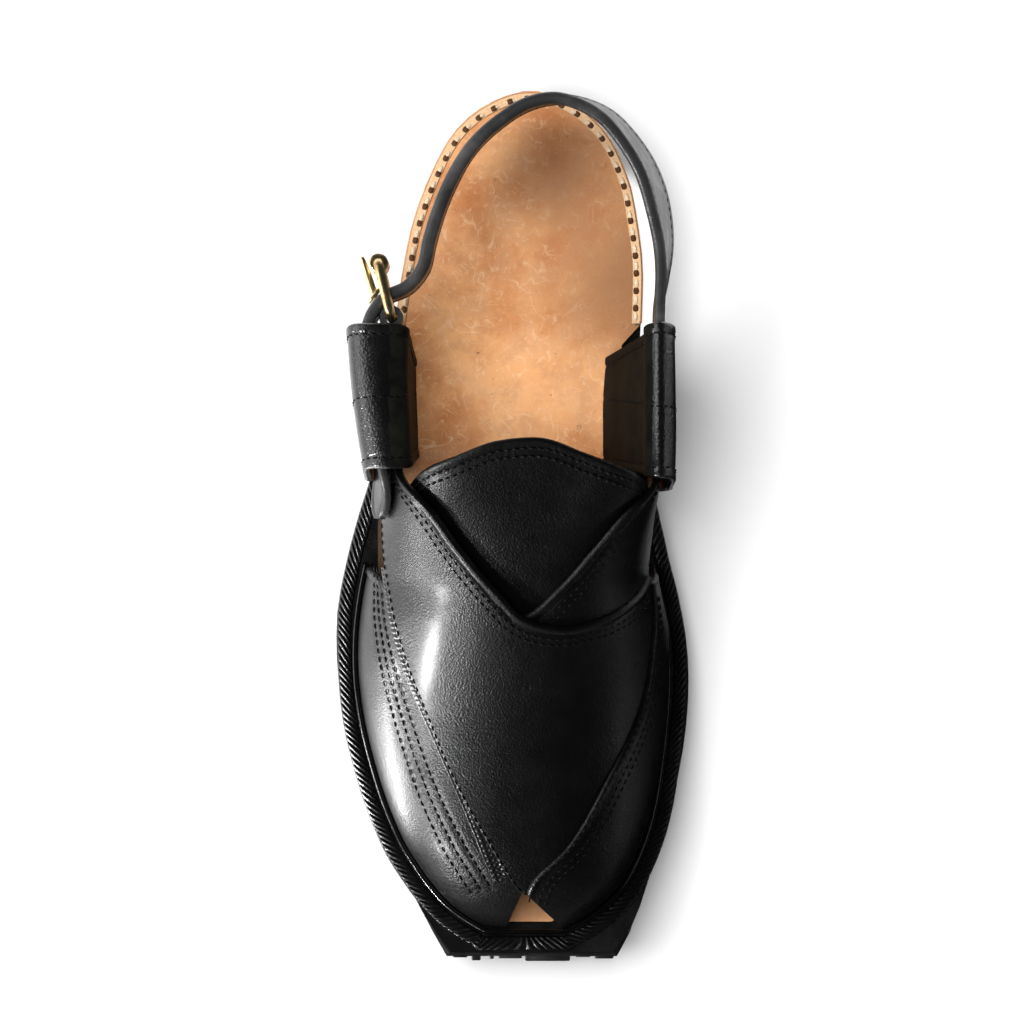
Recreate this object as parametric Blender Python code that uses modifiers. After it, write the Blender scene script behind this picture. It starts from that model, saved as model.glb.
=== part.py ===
"""A right-foot peshawari chappal: rubber sole with a raised heel, crossed leather
straps that form a hollow peep-toe upper, a loose tongue, two quarter loops and a
heel strap that buckles on the lateral side.

Sizes in the tables are millimetres.  The toe points to -Y, the heel to +Y, the
lateral side is -X and the shoe stands on Z = 0.  Rows run from toe to heel.
"""
import math
from collections import namedtuple

import bmesh
import bpy
import numpy as np
from mathutils import Matrix, Vector

MM = 0.001
GAP = 0.3                 # clearance between neighbouring pieces
WALL = 2.2                # one strap of the upper
LAP_BITE = 0.7            # how far an overlapping strap sinks into the one below
TONGUE_WALL = 1.9
LOOP_WALL = 2.0
INSOLE_WALL = 1.7
MIDSOLE_DROP = 3.6        # sole edge down to the underside of the midsole
INSOLE_INSET = 1.3        # from the upper's inner face to the insole
INSOLE_FRONT_Y = -132.2
WELT_WIDTH = 6.4          # from the sole edge to the insole at the waist
BEAD_RADIUS = 0.76
BRAID_WIDTH, BRAID_HEIGHT = 4.8, 1.7
BRAID_INSET = 2.85        # from the sole edge to the middle of the plait
BRAID_OFFSET = 7.20       # from the upper's inner face to the middle of the plait
TOE_Y = -141.2
TOE_LEAN = 0.13           # the toe's front face leans out downward
HEEL_Y = 143.4

# ------------------------------------------------------------------ sole tables

Plan = namedtuple("Plan", "y lateral medial")
SOLE_PLAN = [
    Plan(-141.2, -20.4, 33.6), Plan(-138.0, -23.0, 36.4), Plan(-133.0, -26.6, 39.4),
    Plan(-128.0, -29.8, 41.8), Plan(-115.0, -36.9, 46.2), Plan(-100.0, -44.1, 51.3),
    Plan(-85.0, -50.4, 55.2), Plan(-70.0, -55.4, 57.9), Plan(-55.0, -57.9, 59.1),
    Plan(-42.0, -58.8, 58.7), Plan(-28.0, -58.4, 56.6), Plan(-15.0, -56.0, 53.4),
    Plan(0.0, -52.0, 50.0), Plan(12.0, -48.2, 47.0), Plan(30.0, -44.2, 43.8),
    Plan(50.0, -40.9, 42.6), Plan(70.0, -38.2, 43.2), Plan(87.0, -35.6, 43.2),
    Plan(100.0, -32.7, 41.5), Plan(112.0, -28.4, 39.2), Plan(120.0, -24.8, 36.2),
    Plan(128.0, -20.2, 32.0), Plan(134.0, -14.8, 26.8), Plan(138.4, -8.6, 21.0),
    Plan(141.4, -2.2, 14.8), Plan(142.6, 1.8, 10.6), Plan(143.2, 4.8, 7.4),
]

Side = namedtuple("Side", "y rim tread undercut")
SOLE_SIDE = [              # rim: edge of the top, tread: underside of the outsole
    Side(-141.2, 40.5, 22.5, -0.08), Side(-134.0, 38.0, 19.6, -0.03),
    Side(-120.0, 34.0, 14.8, 0.05), Side(-107.0, 30.4, 11.0, 0.06),
    Side(-93.0, 26.8, 7.5, 0.06), Side(-80.0, 23.4, 4.5, 0.06),
    Side(-66.0, 20.0, 1.9, 0.06), Side(-52.0, 17.5, 0.0, 0.06),
    Side(-33.0, 16.4, 0.0, 0.06), Side(-14.0, 16.8, 0.0, 0.06),
    Side(0.0, 18.2, 0.0, 0.06), Side(13.0, 19.8, 5.0, 0.08),
    Side(26.0, 21.1, 9.2, 0.10), Side(40.0, 22.9, 12.0, 0.12),
    Side(52.0, 26.0, 11.0, 0.12), Side(64.0, 28.8, 9.4, 0.13),
    Side(79.0, 32.4, 7.8, 0.14), Side(101.0, 34.0, 6.6, 0.16),
    Side(125.0, 32.5, 5.3, 0.22), Side(139.0, 31.4, 4.6, 0.28),
    Side(145.0, 31.0, 4.4, 0.28),
]

Line = namedtuple("Line", "y z")
OUTSOLE_TOP = [Line(43.0, 18.6), Line(64.0, 16.6), Line(86.0, 14.2),
               Line(110.0, 12.4), Line(139.0, 10.0), Line(145.0, 9.6)]
LIFT_BOTTOM = [Line(41.0, 7.6), Line(47.0, 4.6), Line(56.0, 1.7), Line(65.0, 0.3),
               Line(74.0, 0.0), Line(139.0, 0.0), Line(145.0, 0.0)]
LIFT_FRONT_Y = 41.0
WEDGE_FRONT_Y = 45.0
INSOLE_SEAT_Y = (28.0, 72.0)     # the midsole drops to seat the insole
INSOLE_FLARE_Y = (60.8, 63.0)    # the insole grows out to the sole edge
NOTCH_Y = (-116.0, -91.0, -67.5, -44.5, -22.0, -4.0)
HEEL_NOTCH_Y = (110.0, 90.0, 66.0)
NOTCH_WIDTH, NOTCH_HEIGHT, NOTCH_LENGTH = 2.2, 6.0, 13.0
CHANNEL_DEPTH = 2.4

# ----------------------------------------------------------------- upper tables

FEATHER = [                # foot of the upper on the sole, inner face of the wall
    Plan(-131.0, -7.5, 15.5), Plan(-128.0, -13.0, 22.0), Plan(-124.5, -18.0, 27.0),
    Plan(-118.0, -24.3, 33.5), Plan(-111.5, -29.1, 37.3), Plan(-105.0, -33.3, 40.2),
    Plan(-98.5, -36.4, 42.4), Plan(-92.0, -39.1, 44.0), Plan(-79.0, -43.4, 46.2),
    Plan(-66.0, -46.7, 47.8), Plan(-52.0, -48.8, 48.6), Plan(-37.0, -48.9, 48.1),
    Plan(-17.0, -46.0, 43.8), Plan(0.0, -41.5, 44.4), Plan(14.0, -36.6, 45.9),
    Plan(44.0, -37.4, 45.9),
]

Ridge = namedtuple("Ridge", "y x z n_lateral n_medial")
RIDGE = [                  # crest of the instep and squareness of each flank
    Ridge(-131.0, 4.6, 41.5, 2.2, 2.2), Ridge(-128.5, 4.6, 45.5, 2.2, 2.2),
    Ridge(-124.0, 4.6, 50.0, 2.2, 2.2), Ridge(-118.0, 4.6, 54.0, 2.2, 2.2),
    Ridge(-110.0, 4.5, 57.0, 2.2, 2.2), Ridge(-96.0, 4.4, 59.0, 2.2, 2.3),
    Ridge(-78.0, 4.5, 62.0, 2.1, 2.3), Ridge(-60.0, 5.0, 66.0, 2.1, 2.3),
    Ridge(-46.0, 5.0, 71.5, 2.1, 2.3), Ridge(-32.0, 5.5, 78.0, 2.1, 2.4),
    Ridge(-15.0, 6.5, 85.0, 2.3, 2.9), Ridge(0.0, 7.5, 91.5, 3.2, 4.2),
    Ridge(14.0, 8.0, 98.0, 5.0, 7.0), Ridge(28.0, 8.5, 104.0, 6.0, 8.0),
    Ridge(44.0, 8.5, 106.0, 6.0, 8.0),
]

# A strap is a fan of rows: each joins a point on its back edge to one on its
# front edge.  y is along the shoe and s is the share of the girth from the crest:
# -1 at the lateral foot, 0 on the crest and +1 at the medial foot.
Row = namedtuple("Row", "back_y back_s front_y front_s")
UNDER_STRAP = [            # from the medial loop to the lateral side of the toe
    Row(42.0, 0.44, 42.0, 0.76), Row(16.0, 0.43, 14.0, 0.76),
    Row(4.5, 0.29, 0.0, 0.73), Row(-7.3, 0.203, -15.0, 0.70),
    Row(-19.7, 0.10, -42.0, 0.62), Row(-28.8, -0.02, -75.0, 0.48),
    Row(-31.0, -0.24, -105.0, 0.30), Row(-26.0, -0.46, -122.5, 0.06),
    Row(-18.0, -0.68, -130.4, -0.30), Row(-14.0, -1.0, -131.0, -1.0),
]
OVER_STRAP = [             # from the lateral loop across the crest to the medial side
    Row(42.0, -0.48, 42.0, -0.72), Row(19.5, -0.46, 15.0, -0.70),
    Row(8.0, -0.32, 2.0, -0.61), Row(-5.7, -0.23, -16.2, -0.577),
    Row(-21.2, -0.10, -49.9, -0.455), Row(-29.1, -0.01, -82.2, -0.349),
    Row(-31.9, 0.127, -104.9, -0.211), Row(-29.6, 0.264, -119.7, -0.02),
    Row(-24.6, 0.42, -105.6, 0.33), Row(-16.6, 0.63, -57.9, 0.73),
]
MEDIAL_WING = [            # stitched over the straps, inner edge to the medial foot
    Row(-19.5, 0.62, -14.0, 1.0), Row(-37.7, 0.565, -34.0, 1.0),
    Row(-53.7, 0.54, -57.0, 1.0), Row(-81.4, 0.41, -88.0, 1.0),
    Row(-103.7, 0.256, -112.0, 1.0), Row(-119.5, 0.0, -127.5, 1.0),
    Row(-131.0, 0.0, -131.0, 1.0),
]
TONGUE = [                 # back edge is the free top, front edge is sewn in
    Row(4.0, 0.56, -30.0, 0.60), Row(13.0, 0.385, -36.0, 0.42),
    Row(17.8, 0.235, -41.0, 0.25), Row(21.8, 0.133, -43.0, 0.13),
    Row(26.8, 0.0, -44.0, 0.0), Row(25.8, -0.11, -43.0, -0.12),
    Row(20.5, -0.24, -40.0, -0.25), Row(16.0, -0.37, -36.0, -0.38),
    Row(5.0, -0.56, -28.0, -0.56),
]
PEEP_TOE = [(3.6, -119.7), (-5.2, -140.0), (24.1, -140.0)]

# ----------------------------------------------------------------- strap tables

Loop = namedtuple("Loop", "y foot_x wall_x top_x top_z inner_x heel_x")
LATERAL_LOOP = [           # outer foot, outer wall, fold, inner wall, inner foot
    Loop(17.5, -44.2, -47.0, -39.6, 91.0, -32.2, -31.0),
    Loop(30.0, -42.6, -49.2, -41.0, 91.5, -32.8, -31.2),
    Loop(46.0, -40.2, -51.3, -42.4, 92.0, -33.4, -31.6),
    Loop(64.0, -37.9, -52.8, -43.1, 91.5, -33.1, -31.8),
]
MEDIAL_LOOP = [
    Loop(14.5, 46.0, 51.5, 47.3, 91.5, 42.9, 30.0),
    Loop(28.0, 43.6, 51.8, 47.4, 92.0, 42.9, 30.0),
    Loop(46.0, 41.4, 51.6, 47.3, 92.0, 42.9, 30.0),
    Loop(64.5, 41.4, 51.4, 47.3, 91.0, 42.9, 31.0),
]
LOOP_SWING = 4.0           # the outer leg hangs nearer the toe than the fold
LOOP_SWING_Z = (70.0, 91.0)
INNER_TAPER = (3.5, -9.0)  # how far the inner leg's front and back edges come in
INNER_TAPER_Z = (91.0, 30.0)

TAB_MIDDLE, TAB_RADIUS, TAB_HEIGHT = 36.0, 13.0, 23.0
TAB_LIFT, TAB_WALL = 1.0, 1.5

Strap = namedtuple("Strap", "x y z width thick lean")
HEEL_STRAP = [             # middle of the folded strap, from its tail to the medial loop
    Strap(-42.8, 1.5, 69.8, 25.0, 2.8, 16.0), Strap(-42.2, 8.5, 70.0, 25.0, 2.8, 12.0),
    Strap(-42.2, 15.0, 71.0, 25.0, 3.2, 6.0), Strap(-44.4, 32.0, 72.0, 25.0, 3.4, 0.0),
    Strap(-46.6, 50.0, 72.4, 25.0, 3.4, 0.0), Strap(-46.9, 60.5, 73.0, 25.0, 3.5, 0.0),
    Strap(-45.0, 66.8, 73.8, 25.0, 3.8, 0.0), Strap(-40.6, 72.4, 74.0, 25.0, 3.8, 0.0),
    Strap(-33.6, 75.8, 74.2, 25.4, 4.0, 0.0),
    Strap(-28.7, 81.6, 74.6, 27.0, 4.1, 0.0), Strap(-26.5, 90.4, 75.2, 29.0, 4.2, 0.0),
    Strap(-24.1, 98.6, 75.8, 31.5, 4.2, 0.5), Strap(-19.7, 109.4, 76.6, 34.5, 4.2, 1.0),
    Strap(-12.4, 121.3, 77.2, 36.5, 4.2, 2.0), Strap(-4.0, 129.1, 77.5, 37.5, 4.1, 2.5),
    Strap(5.4, 134.8, 77.5, 37.5, 4.0, 3.0), Strap(13.5, 136.5, 77.5, 37.5, 3.9, 4.0),
    Strap(21.9, 135.0, 77.5, 37.5, 3.8, 6.0), Strap(30.3, 130.7, 77.2, 37.0, 3.8, 8.3),
    Strap(37.1, 123.4, 76.8, 36.0, 3.8, 9.7), Strap(43.1, 113.8, 76.2, 34.5, 3.8, 10.7),
    Strap(47.4, 99.8, 75.0, 32.0, 3.8, 11.0), Strap(48.8, 88.2, 73.9, 29.5, 3.8, 7.5),
    Strap(48.4, 79.4, 73.3, 28.0, 3.7, 3.5), Strap(47.5, 71.4, 72.8, 27.0, 3.5, 1.0),
    Strap(47.2, 60.0, 72.3, 26.2, 3.2, 0.0), Strap(47.1, 45.0, 72.0, 26.0, 3.0, 0.0),
]
STRAP_TIP_SHARES = (0.0, 0.001, 0.004, 0.009, 0.016)
BUCKLE_FRONT = (-38.6, 66.0)     # plan position of the fixed bar
BUCKLE_BACK = (-42.7, 83.3)      # plan position of the roller bar
BUCKLE_Z = 73.8
BUCKLE_HEIGHT = 29.6             # between the middles of the two side bars
BUCKLE_CORNER = 3.0
BUCKLE_WIRE = 1.6
ROLLER_RADIUS, ROLLER_LENGTH = 3.1, 23.0
PRONG_RADIUS = 1.1
PRONG_TIP = 21.5                 # how far the prong reaches from the fixed bar
CHAPE_WALL, CHAPE_WIDTH = 1.9, 22.2
CHAPE_END = (-40.3, 43.0)        # where the chape meets the strap inside the loop
EYELET_RADIUS, EYELET_WIRE = 2.9, 0.55
EYELET_DEPTH = 1.9               # half the strap where the eyelet sits

# -------------------------------------------------------------------- materials

FINISHES = {               # colour, roughness, metallic
    "black_leather": ((0.012, 0.012, 0.014), 0.24, 0.0),
    "grained_leather": ((0.016, 0.015, 0.016), 0.45, 0.0),
    "black_rubber": ((0.018, 0.018, 0.019), 0.62, 0.0),
    "tan_leather": ((0.58, 0.30, 0.14), 0.62, 0.0),
    "brass": ((0.72, 0.50, 0.20), 0.28, 1.0),
}


def finish(name):
    """Return the named Principled material, made once."""
    material = bpy.data.materials.get(name)
    if material is None:
        colour, roughness, metallic = FINISHES[name]
        material = bpy.data.materials.new(name)
        material.use_nodes = True
        shader = material.node_tree.nodes["Principled BSDF"]
        shader.inputs["Base Color"].default_value = (*colour, 1.0)
        shader.inputs["Roughness"].default_value = roughness
        shader.inputs["Metallic"].default_value = metallic
        material.diffuse_color = (*colour, 1.0)
    return material


# --------------------------------------------------------------- curves, tables


def smooth_curve(rows, field, at="y"):
    """Return a cubic curve through one column of a table, read at another."""
    places = np.array([getattr(row, at) for row in rows], dtype=float)
    values = np.array([getattr(row, field) for row in rows], dtype=float)
    slopes = np.gradient(values, places)

    def value(place):
        place = np.clip(place, places[0], places[-1])
        i = np.clip(np.searchsorted(places, place) - 1, 0, len(places) - 2)
        step = places[i + 1] - places[i]
        t = (place - places[i]) / step
        blend = t * t * (3.0 - 2.0 * t)
        out = slopes[i] * step * t * (1.0 - t) ** 2
        back = slopes[i + 1] * step * t * t * (t - 1.0)
        return values[i] * (1.0 - blend) + values[i + 1] * blend + out + back

    return value


def through(points, shares):
    """Return points along a smooth path at shares of its length, or evenly spread."""
    points = np.array(points, dtype=float)
    lengths = np.linalg.norm(np.diff(points[:, :3], axis=0), axis=1)
    knots = np.concatenate(([0.0], np.cumsum(lengths)))
    slopes = np.gradient(points, knots, axis=0)
    if isinstance(shares, int):
        shares = np.linspace(0.0, 1.0, shares)
    fine = np.array(shares) * knots[-1]
    i = np.clip(np.searchsorted(knots, fine) - 1, 0, len(knots) - 2)
    step = (knots[i + 1] - knots[i])[:, None]
    t = ((fine - knots[i])[:, None]) / step
    blend = t * t * (3.0 - 2.0 * t)
    out = slopes[i] * step * t * (1.0 - t) ** 2
    back = slopes[i + 1] * step * t * t * (t - 1.0)
    return points[i] * (1.0 - blend) + points[i + 1] * blend + out + back


def ease(value, start, end):
    """Rise smoothly from 0 at start to 1 at end."""
    t = min(max((value - start) / (end - start), 0.0), 1.0)
    return t * t * (3.0 - 2.0 * t)


plan = {"lateral": smooth_curve(SOLE_PLAN, "lateral"),
        "medial": smooth_curve(SOLE_PLAN, "medial")}
feather = {"lateral": smooth_curve(FEATHER, "lateral"),
           "medial": smooth_curve(FEATHER, "medial")}
square = {"lateral": smooth_curve(RIDGE, "n_lateral"),
          "medial": smooth_curve(RIDGE, "n_medial")}
ridge_x = smooth_curve(RIDGE, "x")
ridge_z = smooth_curve(RIDGE, "z")
rim = smooth_curve(SOLE_SIDE, "rim")
undercut = smooth_curve(SOLE_SIDE, "undercut")
tread_curve = smooth_curve(SOLE_SIDE, "tread")
lift_curve = smooth_curve(LIFT_BOTTOM, "z")
wedge_curve = smooth_curve(OUTSOLE_TOP, "z")


def tread(y):
    return max(float(tread_curve(y)), 0.0)


def lift_bottom(y):
    return max(float(lift_curve(y)), 0.0)


def insole_drop(y):
    """How far the midsole lies below the rim, to seat the insole at the heel."""
    return INSOLE_WALL * ease(y, *INSOLE_SEAT_Y)


def deck(y):
    """Top of the midsole."""
    return float(rim(y)) - insole_drop(y)


def midsole_bottom(y):
    return float(rim(y)) - MIDSOLE_DROP


def outsole_top(y):
    """The outsole follows the midsole, and leaves it where the wedge begins."""
    below = midsole_bottom(y) - GAP
    return below if y < WEDGE_FRONT_Y - 2.0 else min(below, float(wedge_curve(y)))


# ------------------------------------------------------------------ mesh making


def collection(name):
    """Return a collection of the scene, made once."""
    found = bpy.data.collections.get(name)
    if found is None:
        found = bpy.data.collections.new(name)
        bpy.context.scene.collection.children.link(found)
    return found


def add_object(name, mesh, material):
    """Add a finished piece with its material, shaded smooth but for its edges."""
    mesh.materials.append(finish(material))
    mesh.shade_smooth()
    mesh.set_sharp_from_angle(angle=math.radians(35.0))
    piece = bpy.data.objects.new(name, mesh)
    collection("peshawari_chappal").objects.link(piece)
    return piece


def add_cutter(name, mesh):
    """Add a solid that only cuts or joins and is left out of the part."""
    cutter = bpy.data.objects.new(name, mesh)
    collection("cutters").objects.link(cutter)
    cutter.hide_render = True
    cutter.display_type = "WIRE"
    return cutter


def combine(piece, cutter, operation):
    """Cut, join or intersect a piece with a cutter."""
    boolean = piece.modifiers.new(operation.lower(), "BOOLEAN")
    boolean.operation = operation
    boolean.solver = "EXACT"
    boolean.object = cutter


def loft(name, rings):
    """Skin a list of equal rings, in millimetres, and cap both ends."""
    bm = bmesh.new()
    loops = [[bm.verts.new(Vector(point) * MM) for point in ring] for ring in rings]
    count = len(loops[0])
    for one, two in zip(loops, loops[1:]):
        for i in range(count):
            j = (i + 1) % count
            bm.faces.new((one[i], one[j], two[j], two[i]))
    bm.faces.new(list(reversed(loops[0])))
    bm.faces.new(loops[-1])
    return finished_mesh(bm, name)


def finished_mesh(bm, name):
    """Turn the faces outward and write the mesh."""
    bmesh.ops.recalc_face_normals(bm, faces=bm.faces)
    if bm.calc_volume(signed=True) < 0.0:
        bmesh.ops.reverse_faces(bm, faces=bm.faces)
    mesh = bpy.data.meshes.new(name)
    bm.to_mesh(mesh)
    bm.free()
    return mesh


def sheet(name, grid, inside):
    """Make an open surface from a grid of points, facing away from inside."""
    bm = bmesh.new()
    verts = [[bm.verts.new(Vector(point) * MM) for point in row] for row in grid]
    for upper_row, lower_row in zip(verts, verts[1:]):
        for i in range(len(upper_row) - 1):
            bm.faces.new((upper_row[i], upper_row[i + 1], lower_row[i + 1], lower_row[i]))
    bm.normal_update()
    outward = sum(face.normal.dot(face.calc_center_median() - inside(face)) for face in bm.faces)
    if outward < 0.0:
        bmesh.ops.reverse_faces(bm, faces=bm.faces)
    mesh = bpy.data.meshes.new(name)
    bm.to_mesh(mesh)
    bm.free()
    return mesh


def thicken(piece, thickness, offset=1.0):
    """Give a sheet its wall."""
    solid = piece.modifiers.new("wall", "SOLIDIFY")
    solid.thickness = thickness * MM
    solid.offset = offset
    solid.use_even_offset = True


def block(name, boxes):
    """Make one cutter from turned boxes: centre, size and slope about X."""
    bm = bmesh.new()
    for centre, size, slope in boxes:
        place = (Matrix.Translation(Vector(centre) * MM) @ Matrix.Rotation(slope, 4, "X")
                 @ Matrix.Diagonal((*(Vector(size) * MM), 1.0)))
        bmesh.ops.create_cube(bm, size=1.0, matrix=place)
    return finished_mesh(bm, name)


def prism(name, outline, bottom, top):
    """Extrude a flat outline upward."""
    bm = bmesh.new()
    face = bm.faces.new([bm.verts.new(Vector((x, y, bottom)) * MM) for x, y in outline])
    side = bmesh.ops.extrude_face_region(bm, geom=[face])["geom"]
    raised = [item for item in side if isinstance(item, bmesh.types.BMVert)]
    bmesh.ops.translate(bm, verts=raised, vec=(0.0, 0.0, (top - bottom) * MM))
    return finished_mesh(bm, name)


# ------------------------------------------------------------------------- sole


def rim_point(side, y, inset, source=plan, front=TOE_Y):
    """A point of a plan outline, moved inward square to it."""
    step = 0.25
    x = float(source[side](y))
    slope = (float(source[side](y + step)) - float(source[side](y - step))) / (2.0 * step)
    normal = Vector((1.0, -slope)).normalized()
    if side == "lateral":
        normal = -normal
    return x - normal.x * inset, max(y - normal.y * inset, front + inset)


def sole_stations(start, end):
    """Stations along the shoe, closer together round the heel."""
    heel = [HEEL_Y - 25.0 + 24.6 * math.sin(math.radians(a)) for a in range(0, 90, 10)]
    body = list(np.linspace(TOE_Y, HEEL_Y - 25.0, 36))[:-1]
    inner = [y for y in body + heel if start + 2.0 < y < end - 0.5]
    return [start] + inner + [end]


def slab(name, top, bottom, start=TOE_Y, end=HEEL_Y - 0.4, inset=0.0, source=plan):
    """A layer of the sole between two heights, its side following the undercut."""
    rings = []
    for y in sole_stations(start, end):
        high, low = top(y), bottom(y)
        ring = []
        for z, order in ((high, ("lateral", "medial")), (low, ("medial", "lateral"))):
            below = float(rim(y)) - z
            shift = inset + float(undercut(y)) * below
            lean = TOE_LEAN * below * (1.0 - ease(y, TOE_Y, TOE_Y + 30.0))
            for side in order:
                x, along = rim_point(side, y, shift, source)
                ring.append((x, along - lean, z))
        rings.append(ring)
    return loft(name, rings)


def tread_boxes(places, bottom, reach, height):
    """Boxes across the tread edge, tilted with it."""
    boxes = []
    for y in places:
        slope = math.atan2(bottom(y + 3.0) - bottom(y - 3.0), 6.0)
        for side, sign in (("lateral", -1.0), ("medial", 1.0)):
            edge = rim_point(side, y, float(undercut(y)) * (float(rim(y)) - bottom(y)))[0]
            centre_x = edge + sign * (4.0 - reach / 2.0)
            centre = (centre_x, y, bottom(y) + height / 2.0 - 2.0)
            boxes.append((centre, (reach + 8.0, NOTCH_WIDTH, height + 4.0), slope))
    return boxes


def channel_boxes(places, bottom):
    """Shallow grooves that join each pair of edge notches."""
    boxes = []
    for y in places:
        slope = math.atan2(bottom(y + 3.0) - bottom(y - 3.0), 6.0)
        width = float(plan["medial"](y) - plan["lateral"](y)) - NOTCH_LENGTH
        middle = float(plan["medial"](y) + plan["lateral"](y)) / 2.0
        centre = (middle, y, bottom(y) + CHANNEL_DEPTH / 2.0 - 2.0)
        boxes.append((centre, (width, NOTCH_WIDTH, CHANNEL_DEPTH + 4.0), slope))
    return boxes


def make_sole():
    """Outsole, heel lift, wedge and midsole."""
    outsole = add_object("outsole", slab("outsole", outsole_top, tread), "black_rubber")
    notches = block("notches", tread_boxes(NOTCH_Y, tread, NOTCH_LENGTH, NOTCH_HEIGHT))
    combine(outsole, add_cutter("cut_notches", notches), "DIFFERENCE")
    channels = block("channels", channel_boxes(NOTCH_Y, tread))
    combine(outsole, add_cutter("cut_channels", channels), "DIFFERENCE")

    lift_mesh = slab("heel_lift", lambda y: tread(y) - GAP, lift_bottom, LIFT_FRONT_Y)
    lift = add_object("heel_lift", lift_mesh, "black_rubber")
    heel_notches = block("heel_notches", tread_boxes(HEEL_NOTCH_Y, lift_bottom,
                                                     NOTCH_LENGTH, NOTCH_HEIGHT - 2.5))
    combine(lift, add_cutter("cut_heel_notches", heel_notches), "DIFFERENCE")

    wedge_mesh = slab("heel_wedge", lambda y: midsole_bottom(y) - GAP,
                      lambda y: outsole_top(y) + GAP, WEDGE_FRONT_Y + 4.0, inset=0.4)
    add_object("heel_wedge", wedge_mesh, "grained_leather")
    add_object("midsole", slab("midsole", deck, midsole_bottom, inset=0.2), "black_leather")


def insole_edge(side, y):
    """Inside the upper at the forefoot, clear of the loops, flush at the heel."""
    sign = 1.0 if side == "lateral" else -1.0
    in_upper = abs(float(feather[side](min(y, -17.0)))) - INSOLE_INSET
    in_upper -= INSOLE_INSET * (1.0 - ease(y, INSOLE_FRONT_Y, INSOLE_FRONT_Y + 15.0))
    in_welt = abs(float(plan[side](y))) - WELT_WIDTH
    narrow = -sign * min(in_upper, in_welt)
    flare = ease(y, *INSOLE_FLARE_Y)
    return narrow * (1.0 - flare) + float(plan[side](y)) * flare


def make_insole():
    """The footbed lies on the midsole."""
    source = {side: (lambda y, side=side: insole_edge(side, y)) for side in plan}
    rings = []
    for y in sole_stations(INSOLE_FRONT_Y + 1.0, HEEL_Y - 0.4):
        low = deck(y) + GAP * 0.5
        high = deck(y) + INSOLE_WALL
        ring = []
        for z, order in ((high, ("lateral", "medial")), (low, ("medial", "lateral"))):
            for side in order:
                x, along = rim_point(side, y, 0.0, source, INSOLE_FRONT_Y)
                ring.append((x, along, z))
        rings.append(ring)
    add_object("insole", loft("insole", rings), "tan_leather")


def edge_path(source, inset, lateral_end, medial_end, front, count):
    """A path beside an outline: up the lateral side, round the toe, up the medial."""
    corner = front + inset
    sides = {}
    for side, end in (("lateral", lateral_end), ("medial", medial_end)):
        places = [rim_point(side, y, inset, source, front)
                  for y in np.linspace(end, front + 0.3, 60)]
        sides[side] = [place for place in places if place[1] > corner + 0.4]
    bend = [(sides["lateral"][-1][0] + 0.6, corner), (sides["medial"][-1][0] - 0.6, corner)]
    path = sides["lateral"] + bend + sides["medial"][::-1]
    path = np.array(path)
    lengths = np.concatenate(([0.0], np.cumsum(np.linalg.norm(np.diff(path, axis=0), axis=1))))
    fine = np.linspace(0.0, lengths[-1], count)
    return np.column_stack([np.interp(fine, lengths, path[:, k]) for k in range(2)])


def ribbon(name, path, section, lift, material):
    """Sweep a small section (across, up) along a plan path on the midsole."""
    rings = []
    for i, (x, y) in enumerate(path):
        before, after = path[max(i - 1, 0)], path[min(i + 1, len(path) - 1)]
        along = Vector((after[0] - before[0], after[1] - before[1])).normalized()
        across = Vector((along.y, -along.x))
        ring = []
        for out, up in section:
            px, py = x + across.x * out, y + across.y * out
            ring.append((px, py, deck(py) + lift + up))
        rings.append(ring)
    return add_object(name, loft(name, rings), material)


def braid_guide(side, y):
    """The plait keeps beside the upper at the toe and beside the sole edge behind it."""
    inward = BRAID_OFFSET + BRAID_INSET
    beside_edge = float(plan[side](y)) + (inward if side == "lateral" else -inward)
    back = ease(y, -75.0, -40.0)
    return float(feather[side](y)) * (1.0 - back) + beside_edge * back


def make_welt():
    """The bead at the foot of the upper and the plaited band outside it."""
    arc = [math.radians(a) for a in range(0, 360, 60)]
    bead = [(BEAD_RADIUS * math.cos(a), BEAD_RADIUS * (1.0 + math.sin(a))) for a in arc]
    bead_path = edge_path(feather, -(WALL + 1.5 * GAP + BEAD_RADIUS), -14.0, -14.0,
                          FEATHER[0].y, 64)
    ribbon("welt_bead", bead_path, bead, GAP, "black_leather")
    half, top = BRAID_WIDTH / 2.0, BRAID_HEIGHT
    braid = [(half, 0.0), (half, top * 0.5), (half * 0.5, top),
             (-half * 0.5, top), (-half, top * 0.5), (-half, 0.0)]
    braid_path = edge_path({side: (lambda y, side=side: braid_guide(side, y)) for side in plan},
                           -BRAID_OFFSET, 10.5, 6.0, FEATHER[0].y, 72)
    ribbon("welt_braid", braid_path, braid, GAP, "black_leather")


# ------------------------------------------------------------------------ upper


def last_point(y, s):
    """A point of the last: y along the shoe, s round the girth."""
    side = "lateral" if s < 0.0 else "medial"
    crest_x, crest_z = float(ridge_x(y)), float(ridge_z(y))
    front = 1.0 - ease(y, FEATHER[0].y, FEATHER[0].y + 12.0)
    foot_x, foot_z = float(feather[side](y)), deck(y - WALL * front) + 2.0 * GAP
    n = float(square[side](y))
    turn = np.linspace(0.0, math.pi / 2.0, 90)
    reach = (np.sin(turn) ** n + np.cos(turn) ** n) ** (-1.0 / n)
    x = crest_x + (foot_x - crest_x) * reach * np.sin(turn)
    z = foot_z + (crest_z - foot_z) * reach * np.cos(turn)
    lengths = np.concatenate(([0.0], np.cumsum(np.hypot(np.diff(x), np.diff(z)))))
    where = abs(s) * lengths[-1]
    return Vector((np.interp(where, lengths, x), y, np.interp(where, lengths, z)))


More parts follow.
